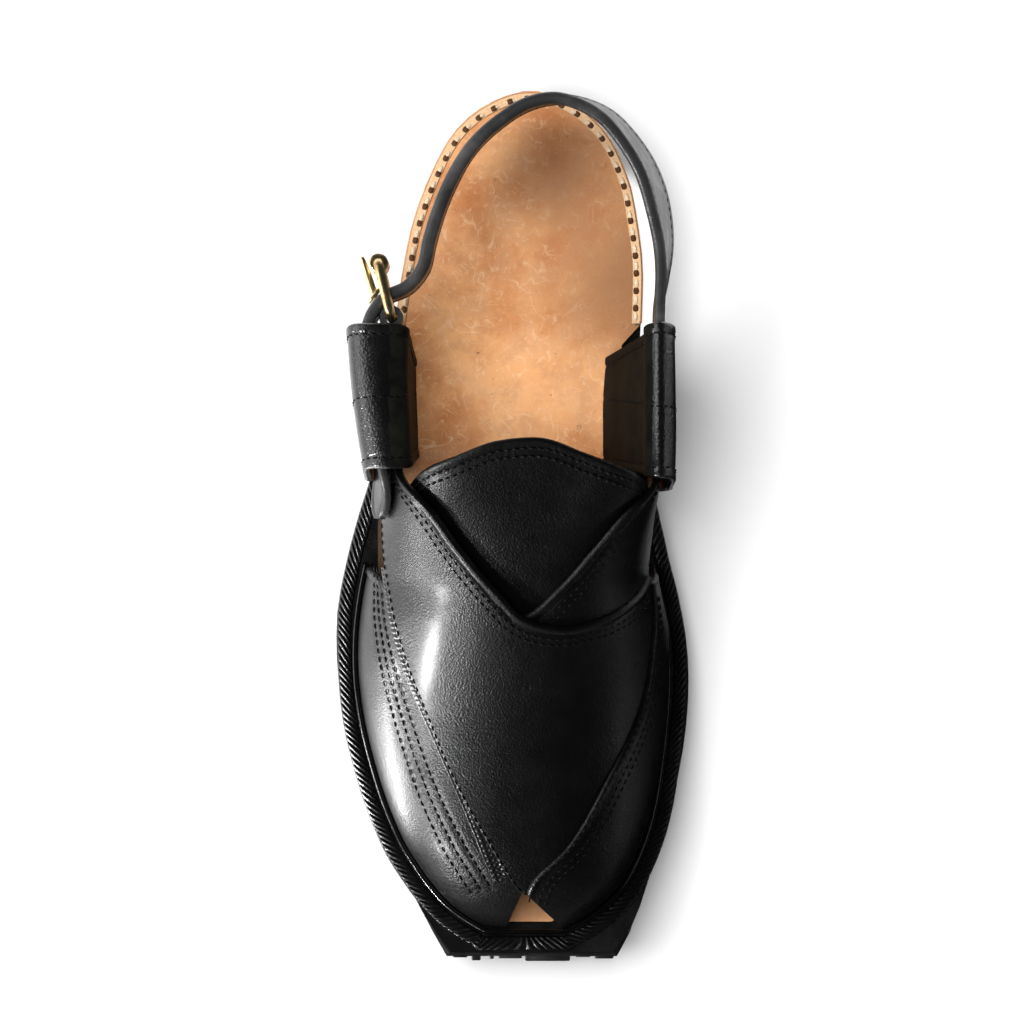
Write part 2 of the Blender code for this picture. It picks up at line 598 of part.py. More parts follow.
def wall_point(y, s, offset):
    """A point of the last moved outward by an offset."""
    ahead, behind = min(y + 1.0, 44.0), max(y - 1.0, FEATHER[0].y)
    over, under = min(s + 0.02, 1.0), max(s - 0.02, -1.0)
    along = last_point(ahead, s) - last_point(behind, s)
    round_girth = last_point(y, over) - last_point(y, under)
    normal = along.cross(round_girth).normalized()
    if normal.z < -0.2 or (abs(normal.z) <= 0.2 and normal.x * s < 0.0):
        normal = -normal
    if abs(s) > 0.999:
        normal = Vector((normal.x, normal.y, 0.0)).normalized()
    return last_point(y, s) + normal * offset


def strap_grid(rows, across, lengthwise, offset):
    """Points of a strap: across steps between its edges, lengthwise along its rows."""
    edges = through([(row.back_y, row.back_s * 60.0, 0.0, row.front_y, row.front_s * 60.0)
                     for row in rows], lengthwise)
    grid = []
    for back_y, back_s, _, front_y, front_s in edges:
        line = []
        for step in range(across + 1):
            share = step / across
            y = back_y + (front_y - back_y) * share
            s = (back_s + (front_s - back_s) * share) / 60.0
            y = min(max(y, FEATHER[0].y), FEATHER[-1].y)
            line.append(wall_point(y, min(max(s, -1.0), 1.0), offset(share, y, s)))
        grid.append(line)
    return grid


def inside_last(face):
    """A point within the shoe at the height of the face."""
    centre = face.calc_center_median()
    return Vector((0.003, centre.y, 0.030))


def make_upper():
    """The crossed straps and the medial wing, joined into one hollow wall."""
    under = strap_grid(UNDER_STRAP, 12, 30, lambda share, y, s: 0.0)
    upper = add_object("upper", sheet("upper", under, inside_last), "black_leather")
    thicken(upper, WALL)

    lap = WALL - LAP_BITE
    over = strap_grid(OVER_STRAP, 12, 30, lambda share, y, s: lap)
    over_strap = add_cutter("over_strap", sheet("over_strap", over, inside_last))
    thicken(over_strap, WALL)
    combine(upper, over_strap, "UNION")

    def wing_offset(share, y, s):
        return (2.0 * lap - 0.3) * (1.0 - ease(share, 0.45, 1.0))

    wing = strap_grid(MEDIAL_WING, 7, 22, wing_offset)
    wing_strap = add_cutter("medial_wing", sheet("medial_wing", wing, inside_last))
    thicken(wing_strap, WALL)
    combine(upper, wing_strap, "UNION")

    peep = prism("peep_toe", PEEP_TOE, 20.0, 80.0)
    combine(upper, add_cutter("cut_peep_toe", peep), "DIFFERENCE")


def make_tongue():
    """The tongue lies just under the crossed straps."""
    grid = strap_grid(TONGUE, 10, 20, lambda share, y, s: -TONGUE_WALL - 2.0 * GAP)
    tongue = add_object("tongue", sheet("tongue", grid, inside_last), "black_leather")
    thicken(tongue, TONGUE_WALL)


# --------------------------------------------------------------- loops, straps


def loop_path(row, foot_z, heel_z):
    """One section of a quarter loop: up the outer wall, over, down the inner."""
    shoulder = 0.82
    outer_x = row.top_x + (row.wall_x - row.top_x) * shoulder
    inner_x = row.top_x + (row.inner_x - row.top_x) * shoulder
    low_outer = row.foot_x * 0.1 + row.wall_x * 0.9
    low_inner = row.heel_x * 0.45 + row.inner_x * 0.55
    return [(row.foot_x, row.y, foot_z), (low_outer, row.y, 50.0),
            (row.wall_x, row.y, 74.0), (outer_x, row.y, row.top_z - 3.0),
            (row.top_x, row.y, row.top_z), (inner_x, row.y, row.top_z - 3.0),
            (row.inner_x, row.y, 74.0), (low_inner, row.y, 52.0),
            (row.heel_x, row.y, heel_z)]


def outer_y(y, z):
    """Where a point of the loop's outer leg lies along the shoe."""
    return y - LOOP_SWING * (1.0 - ease(z, *LOOP_SWING_Z))


def inner_y(y, share, z):
    """Where a point of the inner leg lies; the leg narrows to its foot."""
    top, foot = INNER_TAPER_Z
    come_in = INNER_TAPER[0] * (1.0 - share) + INNER_TAPER[1] * share
    return y + come_in * max(top - z, 0.0) / (top - foot)


def make_loop(name, rows):
    """A leather loop folded over the strap, its feet on midsole and insole."""
    columns = {field: smooth_curve(rows, field) for field in Loop._fields if field != "y"}
    grid = []
    for y in np.linspace(rows[0].y, rows[-1].y, 8):
        row = Loop(y, *[float(columns[field](y)) for field in Loop._fields[1:]])
        share = (y - rows[0].y) / (rows[-1].y - rows[0].y)
        foot_z = deck(y - LOOP_SWING) + GAP
        heel_z = deck(inner_y(y, share, INNER_TAPER_Z[1])) + INSOLE_WALL + 4.0 * GAP
        path = through(loop_path(row, foot_z, heel_z), 22)
        fold = int(np.argmax(path[:, 2]))
        grid.append([(x, outer_y(y, z) if i <= fold else inner_y(y, share, z), z)
                     for i, (x, _, z) in enumerate(path)])
    middle_x = sum(row.top_x for row in rows) / len(rows)
    mesh = sheet(name, grid, lambda face: Vector((middle_x * MM, face.calc_center_median().y,
                                                  0.070)))
    loop = add_object(name, mesh, "black_leather")
    thicken(loop, LOOP_WALL, -1.0)


def strap_section(width, thick):
    """A folded strap's cross-section with round edges: across the wall and up it."""
    half, flat = thick / 2.0, width / 2.0
    return [(-half, -flat + 1.4), (-half * 0.45, -flat), (half * 0.45, -flat),
            (half, -flat + 1.4), (half, flat - 1.4), (half * 0.45, flat),
            (-half * 0.45, flat), (-half, flat - 1.4)]


def strap_rings(rows, shares):
    """Rings of a strap along its route; its top leans in, its first end is half-round."""
    route = through(rows, shares)
    rings = []
    gone = 0.0
    for i, (x, y, z, width, thick, lean) in enumerate(route):
        before, after = route[max(i - 1, 0)], route[min(i + 1, len(route) - 1)]
        gone += float(np.linalg.norm(route[i][:3] - before[:3]))
        tip = max(1.0 - gone / (width / 2.0), 0.0)
        width = width * math.sqrt(1.0 - min(tip, 0.97) ** 2)
        along = Vector((after[0] - before[0], after[1] - before[1], 0.0)).normalized()
        tilt = math.radians(lean)
        inward = along.cross(Vector((0.0, 0.0, 1.0)))
        up = inward * math.sin(tilt) + Vector((0.0, 0.0, math.cos(tilt)))
        across = along.cross(up).normalized()
        ring = [tuple(Vector((x, y, z)) + across * out + up * high)
                for out, high in strap_section(width, thick)]
        rings.append(ring)
    return rings


def make_heel_strap():
    """The folded strap round the heel, with the hole for the prong."""
    shares = list(STRAP_TIP_SHARES) + list(np.linspace(0.03, 1.0, 52))
    rings = strap_rings(HEEL_STRAP, shares)
    strap = add_object("heel_strap", loft("heel_strap", rings), "black_leather")
    bm = bmesh.new()
    hole = PRONG_RADIUS + GAP + 0.1
    way = prong_point(1.0, 0.0) - prong_point(0.0, 0.0)
    turn = way.to_track_quat("Z", "Y").to_matrix().to_4x4()
    place = Matrix.Translation(prong_point(PRONG_HOLE, 0.0) * MM) @ turn
    bmesh.ops.create_cone(bm, cap_ends=True, segments=16, radius1=hole * MM,
                          radius2=hole * MM, depth=10.0 * MM, matrix=place)
    combine(strap, add_cutter("cut_prong_hole", finished_mesh(bm, "prong_hole")), "DIFFERENCE")


def make_loop_tab():
    """A half-round tab on the lower outer face of the lateral loop."""
    columns = {field: smooth_curve(LATERAL_LOOP, field) for field in Loop._fields[1:]}

    def outer_face(y, z):
        y = 2.0 * y - outer_y(y, z)
        row = Loop(y, *[float(columns[field](y)) for field in Loop._fields[1:]])
        wall = through(loop_path(row, deck(y - LOOP_SWING) + GAP, 30.0), 44)[:14]
        return float(np.interp(z, wall[:, 2], wall[:, 0]))

    grid = []
    for turn in np.linspace(-math.pi / 2.0, math.pi / 2.0, 13):
        y = TAB_MIDDLE + TAB_RADIUS * math.sin(turn)
        base = deck(y) + TAB_LIFT
        height = max(TAB_HEIGHT * math.cos(turn), 1.5)
        line = [base + height * share for share in np.linspace(0.0, 1.0, 5)]
        grid.append([(outer_face(y, z) - 1.4 * GAP, y, z) for z in line])
    mesh = sheet("loop_tab", grid, lambda face: Vector((0.0, face.calc_center_median().y,
                                                        0.030)))
    thicken(add_object("loop_tab", mesh, "black_leather"), TAB_WALL)


# ----------------------------------------------------------------------- buckle

BAR_SPACE = (Vector(BUCKLE_BACK) - Vector(BUCKLE_FRONT)).length
PRONG_RISE = (ROLLER_RADIUS - BUCKLE_WIRE) / BAR_SPACE
PRONG_HOLE = 5.4                 # where the prong goes through the strap


def buckle_point(ahead, out, up=0.0):
    """A point in the buckle's own frame: back from the fixed bar, outward, up."""
    front, back = Vector(BUCKLE_FRONT), Vector(BUCKLE_BACK)
    way = (back - front).normalized()
    place = front + way * ahead + Vector((-way.y, way.x)) * out
    return Vector((place.x, place.y, BUCKLE_Z + up))


def prong_point(ahead, up):
    """A point on the middle of the prong's straight stretch."""
    out = BUCKLE_WIRE + GAP + PRONG_RADIUS + PRONG_RISE * ahead
    return buckle_point(ahead, out, up)


def tube(name, points, radius, material, cyclic=False):
    """A round wire along a path, made a mesh with closed ends."""
    curve = bpy.data.curves.new(name, "CURVE")
    curve.dimensions = "3D"
    curve.bevel_depth = radius * MM
    curve.bevel_resolution = 2
    curve.use_fill_caps = not cyclic
    line = curve.splines.new("POLY")
    line.points.add(len(points) - 1)
    for point, place in zip(line.points, points):
        point.co = (*(Vector(place) * MM), 1.0)
    line.use_cyclic_u = cyclic
    guide = bpy.data.objects.new(name, curve)
    bpy.context.scene.collection.objects.link(guide)
    evaluated = guide.evaluated_get(bpy.context.evaluated_depsgraph_get())
    loose = bpy.data.meshes.new_from_object(evaluated)
    bpy.data.objects.remove(guide)
    bm = bmesh.new()
    bm.from_mesh(loose)
    bmesh.ops.remove_doubles(bm, verts=bm.verts, dist=0.00001)
    bpy.data.meshes.remove(loose)
    return add_object(name, finished_mesh(bm, name), material)


def turned(name, profile, place, axis, steps, material):
    """Spin a closed profile (radius, height) round an axis through a place."""
    mesh = bpy.data.meshes.new(name)
    points = [(radius * MM, 0.0, height * MM) for radius, height in profile]
    edges = [(i, (i + 1) % len(points)) for i in range(len(points))]
    mesh.from_pydata(points, edges, [])
    piece = add_object(name, mesh, material)
    screw = piece.modifiers.new("spin", "SCREW")
    screw.axis = "Z"
    screw.steps = steps
    screw.render_steps = steps
    screw.merge_threshold = 0.00001
    screw.use_merge_vertices = True
    screw.use_normal_calculate = True
    piece.matrix_world = (Matrix.Translation(place * MM)
                          @ axis.to_track_quat("Z", "Y").to_matrix().to_4x4())
    return piece


def frame_path():
    """The rounded rectangle of the buckle frame."""
    half = BUCKLE_HEIGHT / 2.0
    near, far, corner = BUCKLE_CORNER, BAR_SPACE - BUCKLE_CORNER, half - BUCKLE_CORNER
    path = []
    for ahead, up, start in ((far, corner, 0), (near, corner, 90),
                             (near, -corner, 180), (far, -corner, 270)):
        for turn in (0, 30, 60, 90):
            angle = math.radians(start + turn)
            path.append(buckle_point(ahead + BUCKLE_CORNER * math.cos(angle), 0.0,
                                     up + BUCKLE_CORNER * math.sin(angle)))
    return path


def prong_path():
    """Once round the fixed bar, then straight through the strap to the roller."""
    radius = BUCKLE_WIRE + GAP + PRONG_RADIUS
    path = []
    for turn in range(0, -271, -30):
        angle = math.radians(turn - 5.0)
        path.append(buckle_point(radius * math.cos(angle), radius * math.sin(angle)))
    straight = [prong_point(ahead, 0.0) for ahead in (2.0, 7.0, 12.0, 17.0)]
    return path + straight + [prong_point(PRONG_TIP, 0.0)]


def make_chape():
    """The short strap folded round the fixed bar, slotted for the prong."""
    radius = BUCKLE_WIRE + GAP + CHAPE_WALL / 2.0
    end = Vector((*CHAPE_END, BUCKLE_Z))
    half = CHAPE_WALL / 2.0 + 0.15
    outer_leg = [end + Vector((-half, y, 0.0)) for y in (0.0, 6.0, 12.0, 15.0)]
    inner_leg = [end + Vector((half, y, 0.0)) for y in (15.0, 12.0, 6.0, 0.0)]
    fold = []
    for turn in range(150, -151, -30):
        angle = math.radians(turn)
        fold.append(buckle_point(radius * math.cos(angle), radius * math.sin(angle)))
    path = outer_leg + fold + inner_leg
    rings = []
    for i, (x, y, z) in enumerate(path):
        before, after = path[max(i - 1, 0)], path[min(i + 1, len(path) - 1)]
        along = Vector((after[0] - before[0], after[1] - before[1], 0.0)).normalized()
        across = Vector((along.y, -along.x, 0.0)) * (CHAPE_WALL / 2.0)
        up = Vector((0.0, 0.0, CHAPE_WIDTH / 2.0))
        middle = Vector((x, y, z))
        rings.append([middle + across - up, middle + across + up,
                      middle - across + up, middle - across - up])
    chape = add_object("buckle_strap", loft("buckle_strap", rings), "black_leather")
    slot_height = 2.0 * (PRONG_RADIUS + GAP)
    slot = block("prong_slot", [(buckle_point(0.0, 0.0), (13.0, 9.6, slot_height), 0.0)])
    combine(chape, add_cutter("cut_prong_slot", slot), "DIFFERENCE")


def make_buckle():
    """Brass frame, roller, prong and eyelet."""
    tube("buckle_frame", frame_path(), BUCKLE_WIRE, "brass", cyclic=True)
    inner, half = BUCKLE_WIRE + GAP, ROLLER_LENGTH / 2.0
    roller = [(ROLLER_RADIUS, half - 0.4), (ROLLER_RADIUS, 0.4 - half),
              (ROLLER_RADIUS - 0.4, -half), (inner, -half), (inner, half),
              (ROLLER_RADIUS - 0.4, half)]
    turned("buckle_roller", roller, buckle_point(BAR_SPACE, 0.0), Vector((0.0, 0.0, 1.0)),
           20, "brass")
    tube("buckle_prong", prong_path(), PRONG_RADIUS, "brass")
    ring = [(EYELET_RADIUS + EYELET_WIRE * math.cos(math.radians(a)),
             EYELET_WIRE * math.sin(math.radians(a))) for a in range(90, -270, -60)]
    strap_way = Vector((0.63, 0.77, 0.0)).normalized()
    outward = Vector((-strap_way.y, strap_way.x, 0.0))
    place = prong_point(PRONG_HOLE, 0.0) + prong_step(outward, EYELET_DEPTH)
    turned("eyelet", ring, place, outward, 18, "brass")


def prong_step(outward, depth):
    """Along the prong until it has left the strap's face."""
    way = (prong_point(1.0, 0.0) - prong_point(0.0, 0.0)).normalized()
    return way * ((depth + GAP + EYELET_WIRE) / way.dot(outward))


def main():
    for item in list(bpy.data.objects):
        bpy.data.objects.remove(item)
    make_sole()
    make_insole()
    make_welt()
    make_upper()
    make_tongue()
    make_loop("quarter_loop_lateral", LATERAL_LOOP)
    make_loop("quarter_loop_medial", MEDIAL_LOOP)
    make_loop_tab()
    make_heel_strap()
    make_chape()
    make_buckle()


main()
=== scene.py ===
# %% [markdown]
# # Dressing a peshawari chappal
# The shoe's solids are already built to size.  This lesson gives them the
# looks of the real sandal: polished black leather cut into crossing straps, rows of
# heavy stitching, a plaited welt, a tan footbed, a brass buckle and a rubber sole.
# Each step says what the piece is on the real shoe and how it is made here.

import math
from collections import namedtuple

import bmesh
import bpy
import numpy as np
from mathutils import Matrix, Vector


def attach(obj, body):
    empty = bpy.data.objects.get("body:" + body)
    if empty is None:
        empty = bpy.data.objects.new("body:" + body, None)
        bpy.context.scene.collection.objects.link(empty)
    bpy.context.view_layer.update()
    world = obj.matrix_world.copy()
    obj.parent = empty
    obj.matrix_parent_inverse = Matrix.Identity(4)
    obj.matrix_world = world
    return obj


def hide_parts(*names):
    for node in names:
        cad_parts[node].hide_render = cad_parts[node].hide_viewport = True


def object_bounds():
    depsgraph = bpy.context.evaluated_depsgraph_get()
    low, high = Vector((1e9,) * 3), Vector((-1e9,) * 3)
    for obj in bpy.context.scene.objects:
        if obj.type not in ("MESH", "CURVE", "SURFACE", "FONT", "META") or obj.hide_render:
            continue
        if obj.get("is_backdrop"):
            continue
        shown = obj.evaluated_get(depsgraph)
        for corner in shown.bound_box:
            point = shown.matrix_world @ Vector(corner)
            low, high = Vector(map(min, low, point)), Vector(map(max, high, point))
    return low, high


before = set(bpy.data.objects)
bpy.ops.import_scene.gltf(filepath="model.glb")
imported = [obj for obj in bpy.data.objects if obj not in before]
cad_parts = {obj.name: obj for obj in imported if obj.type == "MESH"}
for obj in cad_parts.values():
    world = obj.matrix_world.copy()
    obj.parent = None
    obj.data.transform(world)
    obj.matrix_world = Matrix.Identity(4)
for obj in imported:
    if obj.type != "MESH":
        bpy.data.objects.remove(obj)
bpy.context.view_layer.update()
MM = 0.001

# %% [markdown]
# ## Camera, floor and light
# The sandal is seen from straight above, standing on a white table.  A long lens far
# away keeps the sides upright.  Black gloss shows only what it mirrors, so the room is
# nearly dark and the work is shared out.  One overhead panel lights the table and the
# matt leather, and the gloss doesn't see it.  The other panels, low on both sides and
# before the toe, are seen only by the gloss, and draw the highlights.  A black card on
# the table, which only reflections see, keeps the inner side and the toe black.

# %% Camera
HEIGHT_OF_EYE = 1.62
LENS = 168.75
SHOE_MIDDLE_Y = 0.0037


def put_in_scene(name, data):
    """Make an object of a mesh, lamp or camera and put it into the scene."""
    made = bpy.data.objects.new(name, data)
    bpy.context.scene.collection.objects.link(made)
    return made


camera = put_in_scene("camera", bpy.data.cameras.new("camera"))
camera.data.lens = LENS
camera.data.sensor_width = 36.0
camera.location = (0.0, SHOE_MIDDLE_Y, HEIGHT_OF_EYE)
bpy.context.scene.camera = camera

# %% Floor
def new_material(name, **values):
    """A material, its tree and its Principled shader; underscores stand for spaces."""
    material = bpy.data.materials.new(name)
    material.use_nodes = True
    shader = material.node_tree.nodes["Principled BSDF"]
    for socket, value in values.items():
        shader.inputs[socket.replace("_", " ")].default_value = value
    return material, material.node_tree, shader


def stage_piece(name, points, faces, material):
    """A flat piece that belongs to the stage and not to the shoe, in metres."""
    mesh = bpy.data.meshes.new(name)
    mesh.from_pydata(points, [], faces)
    mesh.materials.append(material)
    made = put_in_scene(name, mesh)
    made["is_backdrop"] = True
    return made


FLOOR_REACH = 3.0
CORNERS = [(-1, -1), (1, -1), (1, 1), (-1, 1)]
stage_piece("floor", [(x * FLOOR_REACH, y * FLOOR_REACH, 0.0) for x, y in CORNERS], [(0, 1, 2, 3)],
            new_material("white_table", Base_Color=(0.9, 0.9, 0.9, 1), Roughness=0.8)[0])

# %% Panels of light
Panel_light = namedtuple("Panel_light", "name place size power task")
LIGHTS = [                 # task: what the panel lights, the floor or the gloss
    Panel_light("overhead", (-0.55, 0.15, 2.30), (1.8, 1.8), 98.0, "floor"),
    Panel_light("key_toe_side", (-1.20, -0.74, 0.45), (0.13, 0.13), 21.0, "gloss"),
    Panel_light("toe_fill", (-1.10, -1.36, 0.96), (0.30, 0.30), 3.2, "gloss"),
    Panel_light("table_strip", (-0.100, -0.093, 0.020), (0.060, 0.020), 0.145, "gloss"),
    Panel_light("left_wall", (-1.30, 0.30, 0.62), (1.2, 0.70), 7.0, "gloss"),
    Panel_light("right_wall", (1.40, -0.20, 0.34), (0.8, 0.22), 0.8, "gloss"),
]


def aim_light(row):
    """Hang one soft panel and turn it to the shoe."""
    lamp = bpy.data.lights.new(row.name, "AREA")
    lamp.shape = "RECTANGLE"
    lamp.size, lamp.size_y = row.size
    lamp.energy = row.power
    holder = put_in_scene(row.name, lamp)
    holder.location = row.place
    holder.rotation_euler = (-Vector(row.place)).to_track_quat("-Z", "Y").to_euler()
    holder.visible_camera = False
    holder.visible_glossy = row.task != "floor"
    holder.visible_diffuse = row.task != "gloss"


for row in LIGHTS:
    aim_light(row)
print("lit by", len(LIGHTS), "panels")

# %% Black card and the room
BLACK_CARD_Z = 0.001
CARD = [(0.064, 0.085), (0.064, -0.090), (0.044, -0.140), (-0.030, -0.140), (-0.062, -0.090),
        (-0.300, -0.200), (-0.300, -0.550), (0.550, -0.550), (0.550, 0.085)]
black_card = stage_piece("black_card", [(x, y, BLACK_CARD_Z) for x, y in CARD],
                         [tuple(range(len(CARD)))],
                         new_material("card_black", Base_Color=(0, 0, 0, 1))[0])
for sight in ("camera", "diffuse", "shadow"):
    setattr(black_card, "visible_" + sight, False)

ROOM_COLOUR, ROOM_GLOW = (0.95, 0.97, 1.0, 1.0), 0.025
world = bpy.data.worlds.new("room")
world.use_nodes = True
world.node_tree.nodes["Background"].inputs["Color"].default_value = ROOM_COLOUR
world.node_tree.nodes["Background"].inputs["Strength"].default_value = ROOM_GLOW
bpy.context.scene.world = world
bpy.context.scene.view_settings.view_transform = "Standard"

# %% [markdown]
# ## Shared effects
# Leather, rubber and brass all need small irregularities at more than one scale.
# These are made once as node groups, and each material places them with its own
# values.  A group only puts out numbers and colours; the shader stays in the material.

# %% Node helpers


def add(tree, kind, **values):
    """Add a node and set its inputs by name; underscores stand for spaces."""
    made = tree.nodes.new(kind)
    for name, value in values.items():
        made.inputs[name.replace("_", " ")].default_value = value
    return made


def join(tree, source, output, target, socket):
    """Link one node's output to another's input."""
    tree.links.new(source.outputs[output], target.inputs[socket])


def new_group(name, inputs, outputs):
    """Start a shader group: inputs are (name, default), outputs are names."""
    group = bpy.data.node_groups.new(name, "ShaderNodeTree")
    for label, value in inputs:
        made = group.interface.new_socket(label, in_out="INPUT", socket_type="NodeSocketFloat")
        made.default_value = value
    for label in outputs:
        group.interface.new_socket(label, in_out="OUTPUT", socket_type="NodeSocketFloat")
    return group, group.nodes.new("NodeGroupInput"), group.nodes.new("NodeGroupOutput")


def math_node(tree, operation, first=None, second=None):
    """A Math node; numbers are set and (node, output) pairs are linked."""
    made = tree.nodes.new("ShaderNodeMath")
    made.operation = operation
    for i, item in enumerate((first, second)):
        if isinstance(item, tuple):
            tree.links.new(item[0].outputs[item[1]], made.inputs[i])
        elif item is not None:
            made.inputs[i].default_value = item
    return made


# %% Leather grain: small rounded cells with soft pores
def grain_group():
    group, given, out = new_group("leather_grain", [("Cells", 900.0), ("Unevenness", 45.0)],
                                  ["Height", "Swell"])
    place = group.nodes.new("ShaderNodeTexCoord")
    cells = add(group, "ShaderNodeTexVoronoi", Randomness=1.0)
    cells.feature = "SMOOTH_F1"
    cells.inputs["Smoothness"].default_value = 0.4
    pores = add(group, "ShaderNodeTexNoise", Detail=3.0, Roughness=0.6)
    swell = add(group, "ShaderNodeTexNoise", Detail=2.0, Roughness=0.5)
    for texture in (cells, pores, swell):
        join(group, place, "Object", texture, "Vector")
    join(group, given, "Cells", cells, "Scale")
    pore_scale = math_node(group, "MULTIPLY", (given, "Cells"), 0.45)
    join(group, pore_scale, 0, pores, "Scale")
    join(group, given, "Unevenness", swell, "Scale")
    mixed = math_node(group, "ADD", (cells, "Distance"), (pores, "Fac"))
    join(group, mixed, 0, out, "Height")
    join(group, swell, "Fac", out, "Swell")
    return group


# %% Patches: a soft mask for dust, stains and dull spots
def patch_group():
    group, given, out = new_group("patches", [("Scale", 30.0), ("Cover", 0.5), ("Softness", 0.12)],
                                  ["Mask"])
    place = group.nodes.new("ShaderNodeTexCoord")
    noise = add(group, "ShaderNodeTexNoise", Detail=6.0, Roughness=0.62)
    join(group, place, "Object", noise, "Vector")
    join(group, given, "Scale", noise, "Scale")
    ramp = group.nodes.new("ShaderNodeMapRange")
    ramp.interpolation_type = "SMOOTHSTEP"
    low = math_node(group, "SUBTRACT", (given, "Cover"), (given, "Softness"))
    high = math_node(group, "ADD", (given, "Cover"), (given, "Softness"))
    join(group, noise, "Fac", ramp, "Value")
    join(group, low, 0, ramp, "From Min")
    join(group, high, 0, ramp, "From Max")
    join(group, ramp, "Result", out, "Mask")
    return group


GRAIN = grain_group()
PATCHES = patch_group()
print("shared effects:", GRAIN.name, "and", PATCHES.name)

# %% Steps that the materials share
COLOUR_A, COLOUR_B, MIXED = 6, 7, 2      # the Mix node's colour sockets, by number


def place_group(tree, group, **values):
    """Put a shared effect into a material with its own values."""
    made = tree.nodes.new("ShaderNodeGroup")
    made.node_tree = group
    for name, value in values.items():
        made.inputs[name].default_value = value
    return made


def patches(tree, scale, cover, softness):
    return place_group(tree, PATCHES, Scale=scale, Cover=cover, Softness=softness)


def blend_colours(tree, mask, output, dark, light):
    """Mix two colours by a mask."""
    made = tree.nodes.new("ShaderNodeMix")
    made.data_type = "RGBA"
    join(tree, mask, output, made, "Factor")
    for socket, colour in ((COLOUR_A, dark), (COLOUR_B, light)):
        if isinstance(colour, tuple):
            made.inputs[socket].default_value = (*colour, 1.0)
        else:
            join(tree, colour, MIXED, made, socket)
    return made


def spread_value(tree, mask, output, low, high):
    """Map a 0 to 1 mask onto a range."""
    made = add(tree, "ShaderNodeMapRange", To_Min=low, To_Max=high)
    join(tree, mask, output, made, "Value")
    return made


def near_place(tree, place, centre, inner, outer):
    """A mask that is 1 round a place on the shoe and fades out from it."""
    away = tree.nodes.new("ShaderNodeVectorMath")
    away.operation = "DISTANCE"
    join(tree, place, "Object", away, 0)
    away.inputs[1].default_value = centre
    fade = add(tree, "ShaderNodeMapRange", From_Min=inner, From_Max=outer, To_Min=1.0, To_Max=0.0)
    fade.interpolation_type = "SMOOTHSTEP"
    join(tree, away, "Value", fade, "Value")
    return fade


def bump(tree, source, output, distance, strength, below=None):
    """A Bump node; below is a bump that it lies on."""
    made = add(tree, "ShaderNodeBump", Distance=distance, Strength=strength)
    join(tree, source, output, made, "Height")
    if below is not None:
        join(tree, below, "Normal", made, "Normal")
    return made


def grained(tree, cells, unevenness, swell, pores):
    """Leather grain as two bumps; swell and pores are each (distance, strength)."""
    grain = place_group(tree, GRAIN, Cells=cells, Unevenness=unevenness)
    return bump(tree, grain, "Height", *pores, bump(tree, grain, "Swell", *swell))


def dress_shader(tree, shader, colour, normal=None, rough=None):
    """Lead the colour, the bumps and the roughness into the shader."""
    join(tree, colour, MIXED, shader, "Base Color")
    if normal:
        join(tree, normal, "Normal", shader, "Normal")
    if rough:
        join(tree, rough, "Result", shader, "Roughness")


# %% [markdown]
# ## Black leather
# The straps are smooth cowhide with a wax polish: nearly black, with a tight grain
# that only shows where a highlight fades.  A clear coat gives the sharp part of the
# gloss, and a rougher base under it gives the broad glow.  The folded strap and the
# loops are softer, more open leather, so they use the same recipe with larger cells.
# Their flesh side is matt black with a short nap.

# %% Leathers
Hide = namedtuple("Hide", "name colour dust cells grain swell rough_low rough_high coat shine")
HIDES = [
    Hide("polished_leather", (0.0006, 0.0006, 0.0008), (0.0018, 0.0018, 0.0020), 1600.0, 0.75, 0.12,
         0.36, 0.43, 0.10, 0.50),
    Hide("bead_leather", (0.0006, 0.0006, 0.0008), (0.0018, 0.0018, 0.0020), 1600.0, 0.30, 0.20,
         0.16, 0.24, 0.50, 0.60),
    Hide("loop_leather", (0.0018, 0.0018, 0.0020), (0.005, 0.005, 0.005), 1300.0, 0.85, 0.30,
         0.26, 0.36, 0.35, 0.80),
    Hide("strap_leather", (0.020, 0.020, 0.021), (0.060, 0.058, 0.056), 1100.0, 0.50, 0.30,
         0.34, 0.48, 0.12, 0.42),
    Hide("plait_leather", (0.0012, 0.0012, 0.0013), (0.004, 0.004, 0.004), 900.0, 0.70, 0.60,
         0.24, 0.46, 0.30, 0.55),
    Hide("welt_leather", (0.003, 0.003, 0.003), (0.009, 0.009, 0.009), 1100.0, 0.50, 0.20,
         0.26, 0.38, 0.25, 0.50),
]
HIGHLIGHT_SPOT = ((-0.0255, -0.0365, 0.052), 0.006, 0.024)     # painted highlight where the key light falls: centre, full shine to, no more beyond
HIGHLIGHT_SPOT_COAT = 0.80
DUST, DULL = (55.0, 0.60, 0.16), (140.0, 0.50, 0.25)  # scale, cover and softness of patches
SWELL_RISE, GRAIN_RISE = 0.0012, 0.00016              # metres


def make_hide(row):
    material, tree, shader = new_material(row.name, Coat_Weight=row.coat, Coat_Roughness=0.23,
                                          Specular_IOR_Level=row.shine)
    dress_shader(tree, shader,
                 blend_colours(tree, patches(tree, *DUST), "Mask", row.colour, row.dust),
                 grained(tree, row.cells, 60.0, (SWELL_RISE, row.swell), (GRAIN_RISE, row.grain)),
                 spread_value(tree, patches(tree, *DULL), "Mask", row.rough_low, row.rough_high))
    # painted highlight: the clear coat thickens round the spot where the key light's highlight falls
    if row.name == "polished_leather":
        near = near_place(tree, tree.nodes.new("ShaderNodeTexCoord"), *HIGHLIGHT_SPOT)
        highlight_coat = spread_value(tree, near, "Result", row.coat, HIGHLIGHT_SPOT_COAT)
        join(tree, highlight_coat, "Result", shader, "Coat Weight")
    return material


